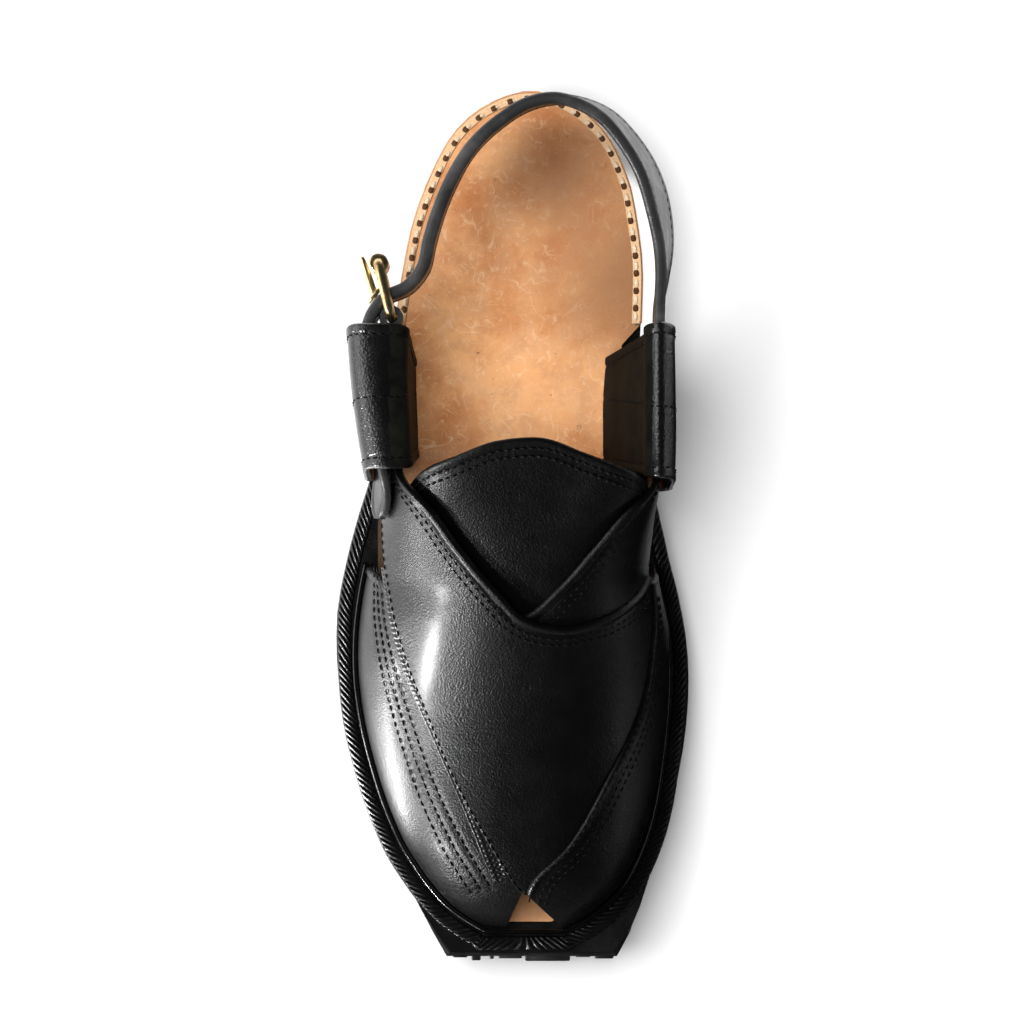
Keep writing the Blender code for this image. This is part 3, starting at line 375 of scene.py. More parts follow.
def patched(name, spots, dark, light, rough=None, rise=None, grain=None, **values):
    """A finish whose patches change its colour, and also its roughness and height if given."""
    material, tree, shader = new_material(name, **values)
    mask = patches(tree, *spots)
    normal = bump(tree, mask, "Mask", *rise) if rise else grained(tree, *grain) if grain else None
    dress_shader(tree, shader, blend_colours(tree, mask, "Mask", dark, light), normal,
                 spread_value(tree, mask, "Mask", *rough) if rough else None)
    return material


HIDE = {row.name: make_hide(row) for row in HIDES}
LINING = patched("black_lining", (160.0, 0.50, 0.25), (0.003, 0.003, 0.003), (0.009, 0.009, 0.007),
                 Roughness=0.72, Specular_IOR_Level=0.08)

# %% [markdown]
# ## Footbed leather, rubber, thread and brass
# The footbed is undyed vegetable-tanned leather.  It is orange-tan, browner and greyer
# where the heel presses, and painted shade darkens it beside the straps, in the openings
# by the loops and in the open toe.  Fine pale fibres curl over it: they
# lie where a smooth noise passes its middle value, which gives thin lines that never
# end in a corner.  The sole is hard rubber with a dusty bloom.  The brass is bright on
# the corners and brown in the low spots.

# %% Footbed
Wear_and_painted_shade = namedtuple("Wear_and_painted_shade", "centre inner outer amount colour")
HEEL_WEAR_AND_PAINTED_SHADE = [                 # rubbed at the heel; painted shade beside the loop, in the openings by the loops and in the open toe
    Wear_and_painted_shade((0.016, 0.115, 0.042), 0.004, 0.030, 0.88, (0.20, 0.090, 0.040)),
    # painted shade of the heel strap and the medial loop on the footbed
    Wear_and_painted_shade((0.044, 0.080, 0.040), 0.006, 0.056, 0.95, (0.28, 0.138, 0.066)),
    # painted shade, near black, where the footbed shows in the opening beside each loop
    Wear_and_painted_shade((-0.048, -0.010, 0.032), 0.022, 0.030, 0.93, (0.026, 0.020, 0.012)),
    Wear_and_painted_shade((0.049, -0.004, 0.032), 0.018, 0.026, 0.93, (0.020, 0.014, 0.009)),
    # painted shade in the open toe
    Wear_and_painted_shade((0.004, -0.125, 0.037), 0.005, 0.016, 0.75, (0.17, 0.085, 0.040)),
]


def fibre_lines(tree, place, scale, width):
    """Short curling lines: where a smooth noise passes its middle value, in patches."""
    noise = add(tree, "ShaderNodeTexNoise", Scale=scale, Detail=1.0, Distortion=1.4)
    join(tree, place, "Object", noise, "Vector")
    off = math_node(tree, "SUBTRACT", (noise, "Fac"), 0.5)
    size = math_node(tree, "ABSOLUTE", (off, 0))
    line = spread_value(tree, size, 0, 1.0, 0.0)
    line.inputs["From Max"].default_value = width
    part = patches(tree, scale * 2.3, 0.53, 0.10)
    shown = math_node(tree, "MULTIPLY", (line, "Result"), (part, "Mask"))
    return math_node(tree, "MULTIPLY", (shown, 0), 0.60)


def over_colour(tree, below, mask, output, share, colour):
    """Lay a colour over what is below, where a mask says and by a share."""
    amount = math_node(tree, "MULTIPLY", (mask, output), share)
    return blend_colours(tree, amount, 0, below, colour)


def make_footbed():
    material, tree, shader = new_material("tan_footbed")
    place = tree.nodes.new("ShaderNodeTexCoord")
    pale = patches(tree, 30.0, 0.50, 0.16)
    colour = blend_colours(tree, pale, "Mask", (0.51, 0.184, 0.061), (0.78, 0.392, 0.172))
    mottle, grime = patches(tree, 75.0, 0.56, 0.12), patches(tree, 150.0, 0.54, 0.10)
    colour = over_colour(tree, colour, mottle, "Mask", 0.55, (0.80, 0.45, 0.235))
    colour = over_colour(tree, colour, grime, "Mask", 0.28, (0.40, 0.150, 0.056))
    colour = blend_colours(tree, patches(tree, 420.0, 0.70, 0.05), "Mask", colour, (0.26, 0.11, 0.05))
    for scale, width in ((58.0, 0.016), (105.0, 0.022), (190.0, 0.030)):
        fibre = fibre_lines(tree, place, scale, width)
        colour = blend_colours(tree, fibre, 0, colour, (0.86, 0.56, 0.34))
    # the heel's real wear, then painted shade beside the straps, in the openings and in the open toe
    for row in HEEL_WEAR_AND_PAINTED_SHADE:
        near = near_place(tree, place, row.centre, row.inner, row.outer)
        colour = over_colour(tree, colour, near, "Result", row.amount, row.colour)
    fine = grained(tree, 700.0, 120.0, (0.0008, 0.35), (0.00018, 0.35))
    dress_shader(tree, shader, colour, bump(tree, fibre, 0, 0.00025, 0.60, fine),
                 spread_value(tree, pale, "Mask", 0.50, 0.68))
    return material


# %% Rubber, thread, holes and brass
THREAD_TWIST, THREAD_RISE = (1500.0, 0.5, 0.2), (0.0001, 0.6)


def make_thread(name, low, high, roughness, shine=0.5):
    return patched(name, THREAD_TWIST, low, high, rise=THREAD_RISE, Roughness=roughness,
                   Specular_IOR_Level=shine)


FOOTBED = make_footbed()
RUBBER = patched("black_rubber", (80.0, 0.55, 0.20), (0.006, 0.006, 0.007), (0.022, 0.021, 0.021),
                 rough=(0.42, 0.70), grain=(620.0, 160.0, (0.0010, 0.55), (0.00025, 0.5)))
BLACK_THREAD = make_thread("black_thread", (0.001, 0.001, 0.001), (0.004, 0.004, 0.004), 0.60, 0.20)
CREAM_THREAD = make_thread("cream_thread", (0.66, 0.48, 0.30), (0.88, 0.74, 0.55), 0.75)
# painted shade: dark beads stand for the shade inside the awl holes
AWL_HOLE_SHADE = make_thread("painted_awl_hole_shade", (0.060, 0.024, 0.010), (0.130, 0.052, 0.020), 0.90)
PALE_EDGE = make_thread("skived_edge", (0.68, 0.40, 0.21), (0.80, 0.54, 0.32), 0.80)
BRASS = patched("worn_brass", (260.0, 0.58, 0.16), (0.93, 0.76, 0.42), (0.50, 0.31, 0.11),
                rough=(0.28, 0.50), rise=(0.0002, 0.35), Metallic=1.0)
print("materials:", sorted(material.name for material in bpy.data.materials))

# %% [markdown]
# ## The last
# A shoemaker pulls the leather over a last, the foot-shaped block.  Here the last is a
# table of sections: where the leather meets the sole on each side, how high the crest
# of the instep is, and how square each flank is.  Curves through the table give a
# surface, and every strap, seam and stitch of the upper is laid on it by two numbers:
# y along the shoe, and s round the girth, -1 and +1 at the feet and 0 on the crest.

# %% Tables of the last and the sole, in millimetres
Plan = namedtuple("Plan", "y lateral medial")
SOLE_PLAN = [Plan(*row) for row in (
    (-141.2, -20.4, 33.6), (-138.0, -23.0, 36.4), (-133.0, -26.6, 39.4), (-128.0, -29.8, 41.8),
    (-115.0, -36.9, 46.2), (-100.0, -44.1, 51.3), (-85.0, -50.4, 55.2), (-70.0, -55.4, 57.9),
    (-55.0, -57.9, 59.1), (-42.0, -58.8, 58.7), (-28.0, -58.4, 56.6), (-15.0, -56.0, 53.4),
    (0.0, -52.0, 50.0), (12.0, -48.2, 47.0), (30.0, -44.2, 43.8), (50.0, -40.9, 42.6),
    (70.0, -38.2, 43.2), (87.0, -35.6, 43.2), (100.0, -32.7, 41.5), (112.0, -28.4, 39.2),
    (120.0, -24.8, 36.2), (128.0, -20.2, 32.0), (134.0, -14.8, 26.8), (138.4, -8.6, 21.0),
    (141.4, -2.2, 14.8), (142.6, 1.8, 10.6), (143.2, 4.8, 7.4),
)]
FEATHER = [Plan(*row) for row in (
    (-131.0, -7.5, 15.5), (-128.0, -13.0, 22.0), (-124.5, -18.0, 27.0), (-118.0, -24.3, 33.5),
    (-111.5, -29.1, 37.3), (-105.0, -33.3, 40.2), (-98.5, -36.4, 42.4), (-92.0, -39.1, 44.0),
    (-79.0, -43.4, 46.2), (-66.0, -46.7, 47.8), (-52.0, -48.8, 48.6), (-37.0, -48.9, 48.1),
    (-17.0, -46.0, 43.8), (0.0, -41.5, 44.4), (14.0, -36.6, 45.9), (44.0, -37.4, 45.9),
)]
Ridge = namedtuple("Ridge", "y x z n_lateral n_medial")
RIDGE = [Ridge(*row) for row in (
    (-131.0, 4.6, 41.5, 2.2, 2.2), (-128.5, 4.6, 45.5, 2.2, 2.2), (-124.0, 4.6, 50.0, 2.2, 2.2),
    (-118.0, 4.6, 54.0, 2.2, 2.2), (-110.0, 4.5, 57.0, 2.2, 2.2), (-96.0, 4.4, 59.0, 2.2, 2.3),
    (-78.0, 4.5, 62.0, 2.1, 2.3), (-60.0, 5.0, 66.0, 2.1, 2.3), (-46.0, 5.0, 71.5, 2.1, 2.3),
    (-32.0, 5.5, 78.0, 2.1, 2.4), (-15.0, 6.5, 85.0, 2.3, 2.9), (0.0, 7.5, 91.5, 3.2, 4.2),
    (14.0, 8.0, 98.0, 5.0, 7.0), (28.0, 8.5, 104.0, 6.0, 8.0), (44.0, 8.5, 106.0, 6.0, 8.0),
)]
Side = namedtuple("Side", "y rim")
SOLE_SIDE = [Side(*row) for row in (
    (-141.2, 40.5), (-134.0, 38.0), (-120.0, 34.0), (-107.0, 30.4), (-93.0, 26.8), (-80.0, 23.4),
    (-66.0, 20.0), (-52.0, 17.5), (-33.0, 16.4), (-14.0, 16.8), (0.0, 18.2), (13.0, 19.8),
    (26.0, 21.1), (40.0, 22.9), (52.0, 26.0), (64.0, 28.8), (79.0, 32.4), (101.0, 34.0),
    (125.0, 32.5), (139.0, 31.4), (145.0, 31.0),
)]
WALL, TONGUE_WALL, INSOLE_WALL = 2.2, 1.9, 1.7
LAP = 1.5                  # how far one strap's wall stands above the one below it
SOLE_GAP = 0.6             # between the midsole and the foot of the upper


# %% Curves through the tables
def read_cubic(knots, values, slopes, at):
    """A cubic curve through values at knots, with a slope at each, read at some places."""
    i = np.clip(np.searchsorted(knots, at) - 1, 0, len(knots) - 2)
    step = knots[i + 1] - knots[i]
    t = (at - knots[i]) / step
    if values.ndim > 1:
        step, t = step[:, None], t[:, None]
    blend = t * t * (3.0 - 2.0 * t)
    out = slopes[i] * step * t * (1.0 - t) ** 2
    back = slopes[i + 1] * step * t * t * (t - 1.0)
    return values[i] * (1.0 - blend) + values[i + 1] * blend + out + back


def smooth_curve(rows, field):
    """A smooth curve through one column of a table, read at y."""
    places = np.array([row.y for row in rows], dtype=float)
    values = np.array([getattr(row, field) for row in rows], dtype=float)
    slopes = np.gradient(values, places)
    return lambda y: read_cubic(places, values, slopes, np.clip(y, places[0], places[-1]))


def gone_along(points):
    """How far each point lies along its line."""
    return np.concatenate(([0.0], np.cumsum(np.linalg.norm(np.diff(points, axis=0), axis=1))))


def read_line(values, lengths, at):
    """Values along a line, read at some lengths."""
    return np.column_stack([np.interp(at, lengths, column) for column in values.T])


def through(points, shares):
    """Points along a smooth path at shares of its length, or evenly spread."""
    points = np.array(points, dtype=float)
    knots = gone_along(points[:, :3])
    if isinstance(shares, int):
        shares = np.linspace(0.0, 1.0, shares)
    return read_cubic(knots, points, np.gradient(points, knots, axis=0), np.array(shares) * knots[-1])


def ease(value, start, end):
    """Rise smoothly from 0 at start to 1 at end."""
    t = np.clip((value - start) / (end - start), 0.0, 1.0)
    return t * t * (3.0 - 2.0 * t)


SIDES = ("lateral", "medial")
plan = {side: smooth_curve(SOLE_PLAN, side) for side in SIDES}
feather = {side: smooth_curve(FEATHER, side) for side in SIDES}
square = {side: smooth_curve(RIDGE, "n_" + side) for side in SIDES}
ridge_x, ridge_z = smooth_curve(RIDGE, "x"), smooth_curve(RIDGE, "z")
rim = smooth_curve(SOLE_SIDE, "rim")


def deck(y):
    """Top of the midsole: it drops at the heel to seat the footbed."""
    return rim(y) - INSOLE_WALL * ease(y, 28.0, 72.0)


# %% The surface of the last
LAST_Y = np.linspace(FEATHER[0].y, FEATHER[-1].y, 357)
LAST_S = np.linspace(-1.0, 1.0, 401)


def unit(vectors):
    return vectors / np.maximum(np.linalg.norm(vectors, axis=-1, keepdims=True), 1e-9)


def make_last():
    """Points and outward normals of the last on an even (y, s) grid."""
    surface = np.zeros((len(LAST_Y), len(LAST_S), 3))
    turn = np.linspace(0.0, math.pi / 2.0, 90)
    for i, y in enumerate(LAST_Y):
        for side, take in (("lateral", LAST_S < 0.0), ("medial", LAST_S >= 0.0)):
            n = float(square[side](y))
            reach = (np.sin(turn) ** n + np.cos(turn) ** n) ** (-1.0 / n)
            foot_z = deck(y - WALL * (1.0 - ease(y, LAST_Y[0], LAST_Y[0] + 12.0))) + SOLE_GAP
            x = ridge_x(y) + (feather[side](y) - ridge_x(y)) * reach * np.sin(turn)
            z = foot_z + (ridge_z(y) - foot_z) * reach * np.cos(turn)
            flank = np.column_stack([x, z])
            lengths = gone_along(flank)
            surface[i, take, ::2] = read_line(flank, lengths, np.abs(LAST_S[take]) * lengths[-1])
        surface[i, :, 1] = y
    normal = np.cross(np.gradient(surface, axis=1), np.gradient(surface, axis=0))
    return surface, unit(normal)


LAST, LAST_NORMAL = make_last()


def on_last(y, s, lift=0.0):
    """Points and normals of the last at y and s, raised by lift."""
    along = (np.clip(y, LAST_Y[0], LAST_Y[-1]) - LAST_Y[0]) / (LAST_Y[1] - LAST_Y[0])
    girth = (np.clip(s, -1.0, 1.0) + 1.0) / (LAST_S[1] - LAST_S[0])
    i = np.clip(along.astype(int), 0, len(LAST_Y) - 2)
    j = np.clip(girth.astype(int), 0, len(LAST_S) - 2)
    a, b = (along - i)[..., None], (girth - j)[..., None]

    def pick(grid):
        low = grid[i, j] * (1.0 - b) + grid[i, j + 1] * b
        high = grid[i + 1, j] * (1.0 - b) + grid[i + 1, j + 1] * b
        return low * (1.0 - a) + high * a

    normal = unit(pick(LAST_NORMAL))
    return pick(LAST) + normal * np.asarray(lift)[..., None], normal


print("ball girth over the last:",
      round(float(np.sum(np.linalg.norm(np.diff(LAST[150], axis=0), axis=1)))), "mm")

# %% [markdown]
# ## Cutting a strap
# A strap is a fan of rows, each from its back edge to its front edge.  Real leather
# has rounded, skived edges, so the wall's thickness falls off as a quarter circle near
# every border.  Folded rims, pressed seam lines and soft creases are added to the
# outside as a relief measured in millimetres from the edges.

# %% Mesh helpers
def piece_from(name, points, faces, material, slot="black_leather"):
    """Make a finished smooth mesh object from points in millimetres, on the shoe."""
    mesh = bpy.data.meshes.new(name)
    mesh.from_pydata((np.asarray(points).reshape(-1, 3) * MM).tolist(), [], faces)
    mesh.materials.append(material)
    mesh.shade_smooth()
    mesh.update()
    piece = put_in_scene(name, mesh)
    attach(piece, "root")
    return piece


def quads(number):
    """The quads of a grid of numbered points."""
    corners = number[:-1, :-1], number[:-1, 1:], number[1:, 1:], number[1:, :-1]
    return np.stack(corners, axis=-1).reshape(-1, 4).tolist()


def ring_faces(rings, count, closed=False):
    """Quads between rings of points; the ends are capped or joined to each other."""
    number = np.arange(rings * count).reshape(rings, count)
    number = np.column_stack([number, number[:, 0]])
    if closed:
        return quads(np.vstack([number, number[:1]]))
    return quads(number) + [number[0, -2::-1].tolist(), number[-1, :-1].tolist()]


def two_sided(outer, inner):
    """A closed wall between two grids that share their border."""
    face = np.arange(outer[..., 0].size).reshape(outer.shape[:2])
    behind = face.copy()
    behind[1:-1, 1:-1] += face.size
    return np.concatenate([outer.reshape(-1, 3), inner.reshape(-1, 3)]), quads(face) + quads(behind.T)


def tidy_mesh(piece):
    """Drop unused points and turn every face outward."""
    bm = bmesh.new()
    bm.from_mesh(piece.data)
    bmesh.ops.delete(bm, geom=[v for v in bm.verts if not v.link_faces], context="VERTS")
    bmesh.ops.recalc_face_normals(bm, faces=bm.faces)
    bm.to_mesh(piece.data)
    bm.free()
    return piece


def running(points, axis):
    """Distance along one axis of a grid, from its first row."""
    steps = np.linalg.norm(np.diff(points, axis=axis), axis=-1)
    shape = list(points.shape[:2])
    shape[axis] = 1
    return np.concatenate([np.zeros(shape), np.cumsum(steps, axis=axis)], axis=axis)


# %% The strap builder
EDGE_STEPS = (0.0, 0.12, 0.40, 0.75, 1.15)
Panel = namedtuple("Panel", "piece outer normal back front")
Spot = namedtuple("Spot", "back front start y s")     # mm from three edges, place on the last
GIRTH = 60.0               # millimetres over the last from s = 0 to 1, roughly
CREASE_GIRTH = 75.0        # the same where the creases lie
PRESS_DEPTH, PRESS_WIDTH = 0.45, 0.75                 # leather pulled down beside a seam
RELIEF_FROM_EDGE = 0.8     # full relief this far inside the rounded edge


def edge_shares(length, count):
    """Shares of a length, close together within the rounding of both edges."""
    near = np.array(EDGE_STEPS) / length
    middle = np.linspace(near[-1], 1.0 - near[-1], count)[1:-1]
    return np.concatenate([near, middle, 1.0 - near[::-1]])


def pressed(points, seams):
    """How far the leather is pulled down beside lines of stitching."""
    rise = np.zeros(points.shape[:2])
    for line in seams:
        for i, row in enumerate(points):
            away = np.linalg.norm(row[:, None] - line[None], axis=-1).min(axis=1)
            rise[i] -= PRESS_DEPTH * np.exp(-(away / PRESS_WIDTH) ** 2)
    return rise


def walled(name, point, normal, lift, wall, hide, relief, seams=(), y=None, s=None):
    """Turn a grid of points into a wall with rounded edges and relief outside."""
    back, start = running(point, 1), running(point, 0)
    front, end = back[:, -1:] - back, start[-1:] - start
    edge = np.minimum(np.minimum(back, front), np.minimum(start, end))
    half = wall / 2.0
    round_half = half * np.sqrt(1.0 - np.clip(1.0 - edge / half, 0.0, 1.0) ** 2)
    rise = relief(Spot(back, front, start, y, s)) + pressed(point + normal * wall, seams)
    rise = rise * ease(edge, 0.0, RELIEF_FROM_EDGE)
    centre = point + normal * (lift + half)[..., None]
    outer = centre + normal * (round_half + rise)[..., None]
    inner = centre - normal * round_half[..., None]
    piece = tidy_mesh(piece_from(name, *two_sided(outer, inner), HIDE[hide]))
    print(f"{name}: {back.max():.0f} mm across, {len(piece.data.polygons)} faces")
    turned = unit(np.cross(np.gradient(outer, axis=1), np.gradient(outer, axis=0)))
    turned *= np.sign(np.sum(turned * normal, axis=-1, keepdims=True))
    return Panel(piece, outer, turned, back, front)


def fan_of(rows, along):
    """Back y, s and front y, s of a strap's rows, smoothly spread along it."""
    path = [(row.back_y, row.back_s * GIRTH, 0.0, row.front_y, row.front_s * GIRTH) for row in rows]
    fan = through(path, along)
    return fan[:, 0:1], fan[:, 1:2] / GIRTH, fan[:, 3:4], fan[:, 4:5] / GIRTH


def leather_panel(name, rows, lift, wall, along, across, relief, node, seams=()):
    """Lay a strap on the last between its back and front edges."""
    back_y, back_s, front_y, front_s = fan_of(rows, along)

    def at(shares):
        return back_y + (front_y - back_y) * shares, back_s + (front_s - back_s) * shares

    widths = running(on_last(*at(np.linspace(0.0, 1.0, 12)))[0], 1)[:, -1]
    shares = np.array([edge_shares(width, across) for width in widths])
    y, s = at(shares)
    panel = walled(name, *on_last(y, s), lift(shares), wall, "polished_leather", relief, seams, y, s)
    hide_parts(node)
    return panel


# %% Relief of the leather
def groove(distance, place, depth, width=0.45):
    """A pressed line at a distance from an edge."""
    return -depth * np.exp(-((distance - place) / width) ** 2)


def rim_roll(distance, width, height):
    """A folded rim: a raised round band along an edge, with a crease inside it."""
    band = height * np.sqrt(np.clip(1.0 - (distance / width * 2.0 - 1.0) ** 2, 0.0, 1.0))
    return band + groove(distance, width + 0.35, height * 0.5, 0.4)


def crease(spot, y, s, turn, length, width, depth):
    """A soft trough on the last, centred on a place and turned by an angle."""
    ahead, aside = spot.y - y, (spot.s - s) * CREASE_GIRTH
    u = ahead * math.cos(turn) + aside * math.sin(turn)
    v = -ahead * math.sin(turn) + aside * math.cos(turn)
    return -depth * np.exp(-(v / width) ** 2 - (u / length) ** 2)


# %% [markdown]
# ## Stitching
# Heavy waxed thread shows as a row of short beads.  Each stitch is a small capsule
# that dips into the leather at both ends.  All the stitches of one piece are one mesh,
# laid at an even pitch along a line that runs at a set distance from an edge.

# %% Stitches
STITCH_RINGS = ((-0.50, 0.30, -0.35), (-0.32, 0.85, 0.10), (0.0, 1.0, 0.32), (0.32, 0.85, 0.10),
                (0.50, 0.30, -0.35))
STITCH_SIDES = 6
SEAM, TONGUE_SEAM = (2.7, 2.0, 0.60), (2.6, 2.2, 0.85)       # pitch, length and thickness


def resample(points, normals, pitch):
    """Places, directions and normals at an even pitch along a line."""
    lengths = gone_along(points)
    count = max(int(lengths[-1] / pitch), 1)
    where = (np.arange(count) + 0.5) * lengths[-1] / count
    ahead = read_line(points, lengths, np.minimum(where + 0.4, lengths[-1]))
    behind = read_line(points, lengths, np.maximum(where - 0.4, 0.0))
    return (read_line(points, lengths, where), unit(ahead - behind),
            unit(read_line(normals, lengths, where)))


def stitches(name, lines, pitch, length, thick, material=BLACK_THREAD, slot="black_leather"):
    """One mesh with a stitch at every pitch of every line (points, normals)."""
    points, faces = [], []
    turn = 2.0 * math.pi * np.arange(STITCH_SIDES)[:, None] / STITCH_SIDES
    for line, normals in lines:
        for place, way, up in zip(*resample(line, normals, pitch)):
            reach = unit(np.cross(up, way)) * np.cos(turn) + up * np.sin(turn)
            faces += [[len(points) + i for i in face]
                      for face in ring_faces(len(STITCH_RINGS), STITCH_SIDES)]
            for share, size, rise in STITCH_RINGS:
                centre = place + way * share * length + up * rise * thick
                points.extend(centre + reach * size * thick / 2.0)
    print(f"{name}: {len(points) // (STITCH_SIDES * len(STITCH_RINGS))} stitches")
    return piece_from(name, points, faces, material, slot)


# %% Seams beside the edges of a panel
def seam_line(panel, edge, distance, first=0.0, last=1.0):
    """Points and normals on a panel at a distance from its back or front edge."""
    away = getattr(panel, edge)
    read = []
    for i in range(int(first * (len(away) - 1)), int(last * (len(away) - 1)) + 1):
        if away[i].max() >= distance * 1.5:
            order = slice(None) if away[i, -1] > away[i, 0] else slice(None, None, -1)
            read.append([read_line(grid[i, order], away[i][order], [distance])[0]
                         for grid in (panel.outer, panel.normal)])
    return np.array(read).transpose(1, 0, 2)


# %% [markdown]
# ## The crossing straps
# One strap comes from the medial loop, runs under its neighbour and spreads into the
# lateral side of the toe.  The other comes from the lateral loop, over the first, and
# dives under a medial wing that is stitched on last.  Between the ends of the straps
# the toe is left open in a small triangle.  Each row of a table joins a point on the
# strap's back edge to one on its front edge.

# %% Tables of the straps
Row = namedtuple("Row", "back_y back_s front_y front_s")
UNDER_STRAP = [Row(*row) for row in (
    (42.0, 0.44, 42.0, 0.76), (16.0, 0.43, 14.0, 0.76), (4.5, 0.29, 0.0, 0.73),
    (-7.3, 0.203, -15.0, 0.70), (-19.7, 0.10, -42.0, 0.62), (-28.8, -0.02, -75.0, 0.48),
    (-31.0, -0.24, -105.0, 0.30), (-26.0, -0.46, -122.5, 0.06), (-18.0, -0.68, -130.4, -0.30),
    (-14.0, -1.0, -131.0, -1.0),
)]
OVER_STRAP = [Row(*row) for row in (
    (42.0, -0.48, 42.0, -0.72), (19.5, -0.46, 15.0, -0.70), (8.0, -0.32, 2.0, -0.61),
    (-5.7, -0.23, -16.2, -0.577), (-21.2, -0.10, -49.9, -0.455), (-29.1, -0.01, -82.2, -0.349),
    (-31.9, 0.127, -104.9, -0.211), (-29.6, 0.264, -119.7, -0.02), (-24.6, 0.42, -105.6, 0.33),
    (-16.6, 0.63, -57.9, 0.73),
)]
MEDIAL_WING = [Row(*row) for row in (
    (-19.5, 0.62, -14.0, 1.0), (-37.7, 0.565, -34.0, 1.0), (-53.7, 0.54, -57.0, 1.0),
    (-81.4, 0.41, -88.0, 1.0), (-103.7, 0.256, -112.0, 1.0), (-119.5, 0.0, -127.5, 1.0),
    (-131.0, 0.0, -131.0, 1.0),
)]
TONGUE = [Row(*row) for row in (
    (4.0, 0.56, -30.0, 0.60), (13.0, 0.385, -36.0, 0.42), (17.8, 0.235, -41.0, 0.25),
    (21.8, 0.133, -43.0, 0.13), (26.8, 0.0, -44.0, 0.0), (25.8, -0.11, -43.0, -0.12),
    (20.5, -0.24, -40.0, -0.25), (16.0, -0.37, -36.0, -0.38), (5.0, -0.56, -28.0, -0.56),
)]


def edge_of(rows, edge, count):
    """y and s along one edge of a strap."""
    back_y, back_s, front_y, front_s = fan_of(rows, count)
    return (back_y[:, 0], back_s[:, 0]) if edge == "back" else (front_y[:, 0], front_s[:, 0])


# %% Walking over the last
def walk(y, s, distance):
    """Move a line sideways over the last, square to itself, by a distance."""
    steps = max(int(abs(distance) / 1.5), 1)
    for _ in range(steps):
        place, normal = on_last(y, s)
        side = unit(np.cross(normal, np.gradient(place, axis=0))) * distance / steps
        by_y = (on_last(y + 0.2, s)[0] - on_last(y - 0.2, s)[0]) / 0.4
        by_s = (on_last(y, s + 0.004)[0] - on_last(y, s - 0.004)[0]) / 0.008
        yy, ss, ys = (np.sum(a * b, axis=-1) for a, b in ((by_y, by_y), (by_s, by_s), (by_y, by_s)))
        along, round_it = np.sum(side * by_y, axis=-1), np.sum(side * by_s, axis=-1)
        spread = yy * ss - ys * ys
        y = y + (along * ss - round_it * ys) / spread
        s = s + (round_it * yy - along * ys) / spread
    return y, s


# %% The stitched rows of the lateral wing follow the over-strap's edge
WING_ROWS = (7.3, 10.8, 14.6)
EDGE_POINTS, EDGE_USED = 160, 130
WING_FROM_Y, WING_TO_Y = -115.5, -14.0
edge_y, edge_s = edge_of(OVER_STRAP, "front", EDGE_POINTS)
on_wing = (edge_y < WING_TO_Y) & (edge_y > WING_FROM_Y) & (np.arange(EDGE_POINTS) < EDGE_USED)
wing_lines = [tuple(line[on_wing] for line in walk(edge_y, edge_s, -distance))
              for distance in WING_ROWS]


def under_relief(spot):
    return (rim_roll(spot.back, 2.7, 0.50) + crease(spot, -78.0, -0.55, 1.2, 22.0, 5.0, 0.25)
            + crease(spot, -52.0, -0.60, 1.4, 26.0, 6.0, 0.30))


def over_relief(spot):
    return rim_roll(spot.back, 2.7, 0.55)


def wing_relief(spot):
    return 0.25 * ease(spot.back, 2.2, 1.4) + groove(spot.back, 2.1, 0.2)


def tongue_relief(spot):
    return 0.30 * ease(spot.back, 3.0, 2.2) + crease(spot, 12.0, 0.1, 0.2, 18.0, 5.0, 0.35)


def raised(height):
    """A strap that lies at one height over the last."""
    return lambda shares: height + 0.0 * shares


def wing_lift(shares):
    """The wing lies on both straps at its back edge and comes down to the sole."""
    return (2.0 * LAP - 0.3) * (1.0 - ease(shares, 0.45, 1.0))


wing_seams = [on_last(y, s, WALL)[0] for y, s in wing_lines]
under = leather_panel("lateral_wing_and_under_strap", UNDER_STRAP, raised(0.0), WALL, 210, 110,
                      under_relief, "upper", wing_seams)
over = leather_panel("over_strap", OVER_STRAP, raised(LAP), WALL, 200, 90, over_relief, "upper")
wing = leather_panel("medial_wing", MEDIAL_WING, wing_lift, WALL, 170, 46, wing_relief, "upper")
tongue = leather_panel("soft_tongue", TONGUE, raised(-TONGUE_WALL - SOLE_GAP), TONGUE_WALL, 110, 70,
                       tongue_relief, "tongue")

# %% The open toe is cut through all three
PEEP_TOE = [(3.6, -119.7), (-5.2, -140.0), (24.1, -140.0)]
PEEP_Z = (20.0, 80.0)


def cut_peep(piece):
    """Cut the open toe out of one strap and round the cut a little."""
    points = [(x * MM, y * MM, z * MM) for z in PEEP_Z for x, y in PEEP_TOE]
    mesh = bpy.data.meshes.new("peep")
    mesh.from_pydata(points, [], [(0, 2, 1), (3, 4, 5), (0, 1, 4, 3), (1, 2, 5, 4), (2, 0, 3, 5)])
    cutter = put_in_scene("peep", mesh)
    boolean = piece.modifiers.new("peep", "BOOLEAN")
    boolean.solver, boolean.object = "EXACT", cutter
    whole = piece.evaluated_get(bpy.context.evaluated_depsgraph_get())
    cut = bpy.data.meshes.new_from_object(whole)
    piece.modifiers.clear()
    piece.data = cut
    cut.shade_smooth()
    cut.set_sharp_from_angle(angle=math.radians(50.0))
    bpy.data.objects.remove(cutter)


for panel in (under, over, wing):
    cut_peep(panel.piece)

# %% A strip of small beads lies on the wing along the over-strap's edge
BEADS = 1.7                # along the strip, millimetres


def beaded_relief(spot):
    dots = np.sin(math.pi * spot.start / BEADS) ** 2 * np.sin(math.pi * spot.back / BEADS) ** 2
    return 0.45 * dots - 0.25 + groove(spot.back, 2.6, 0.2)


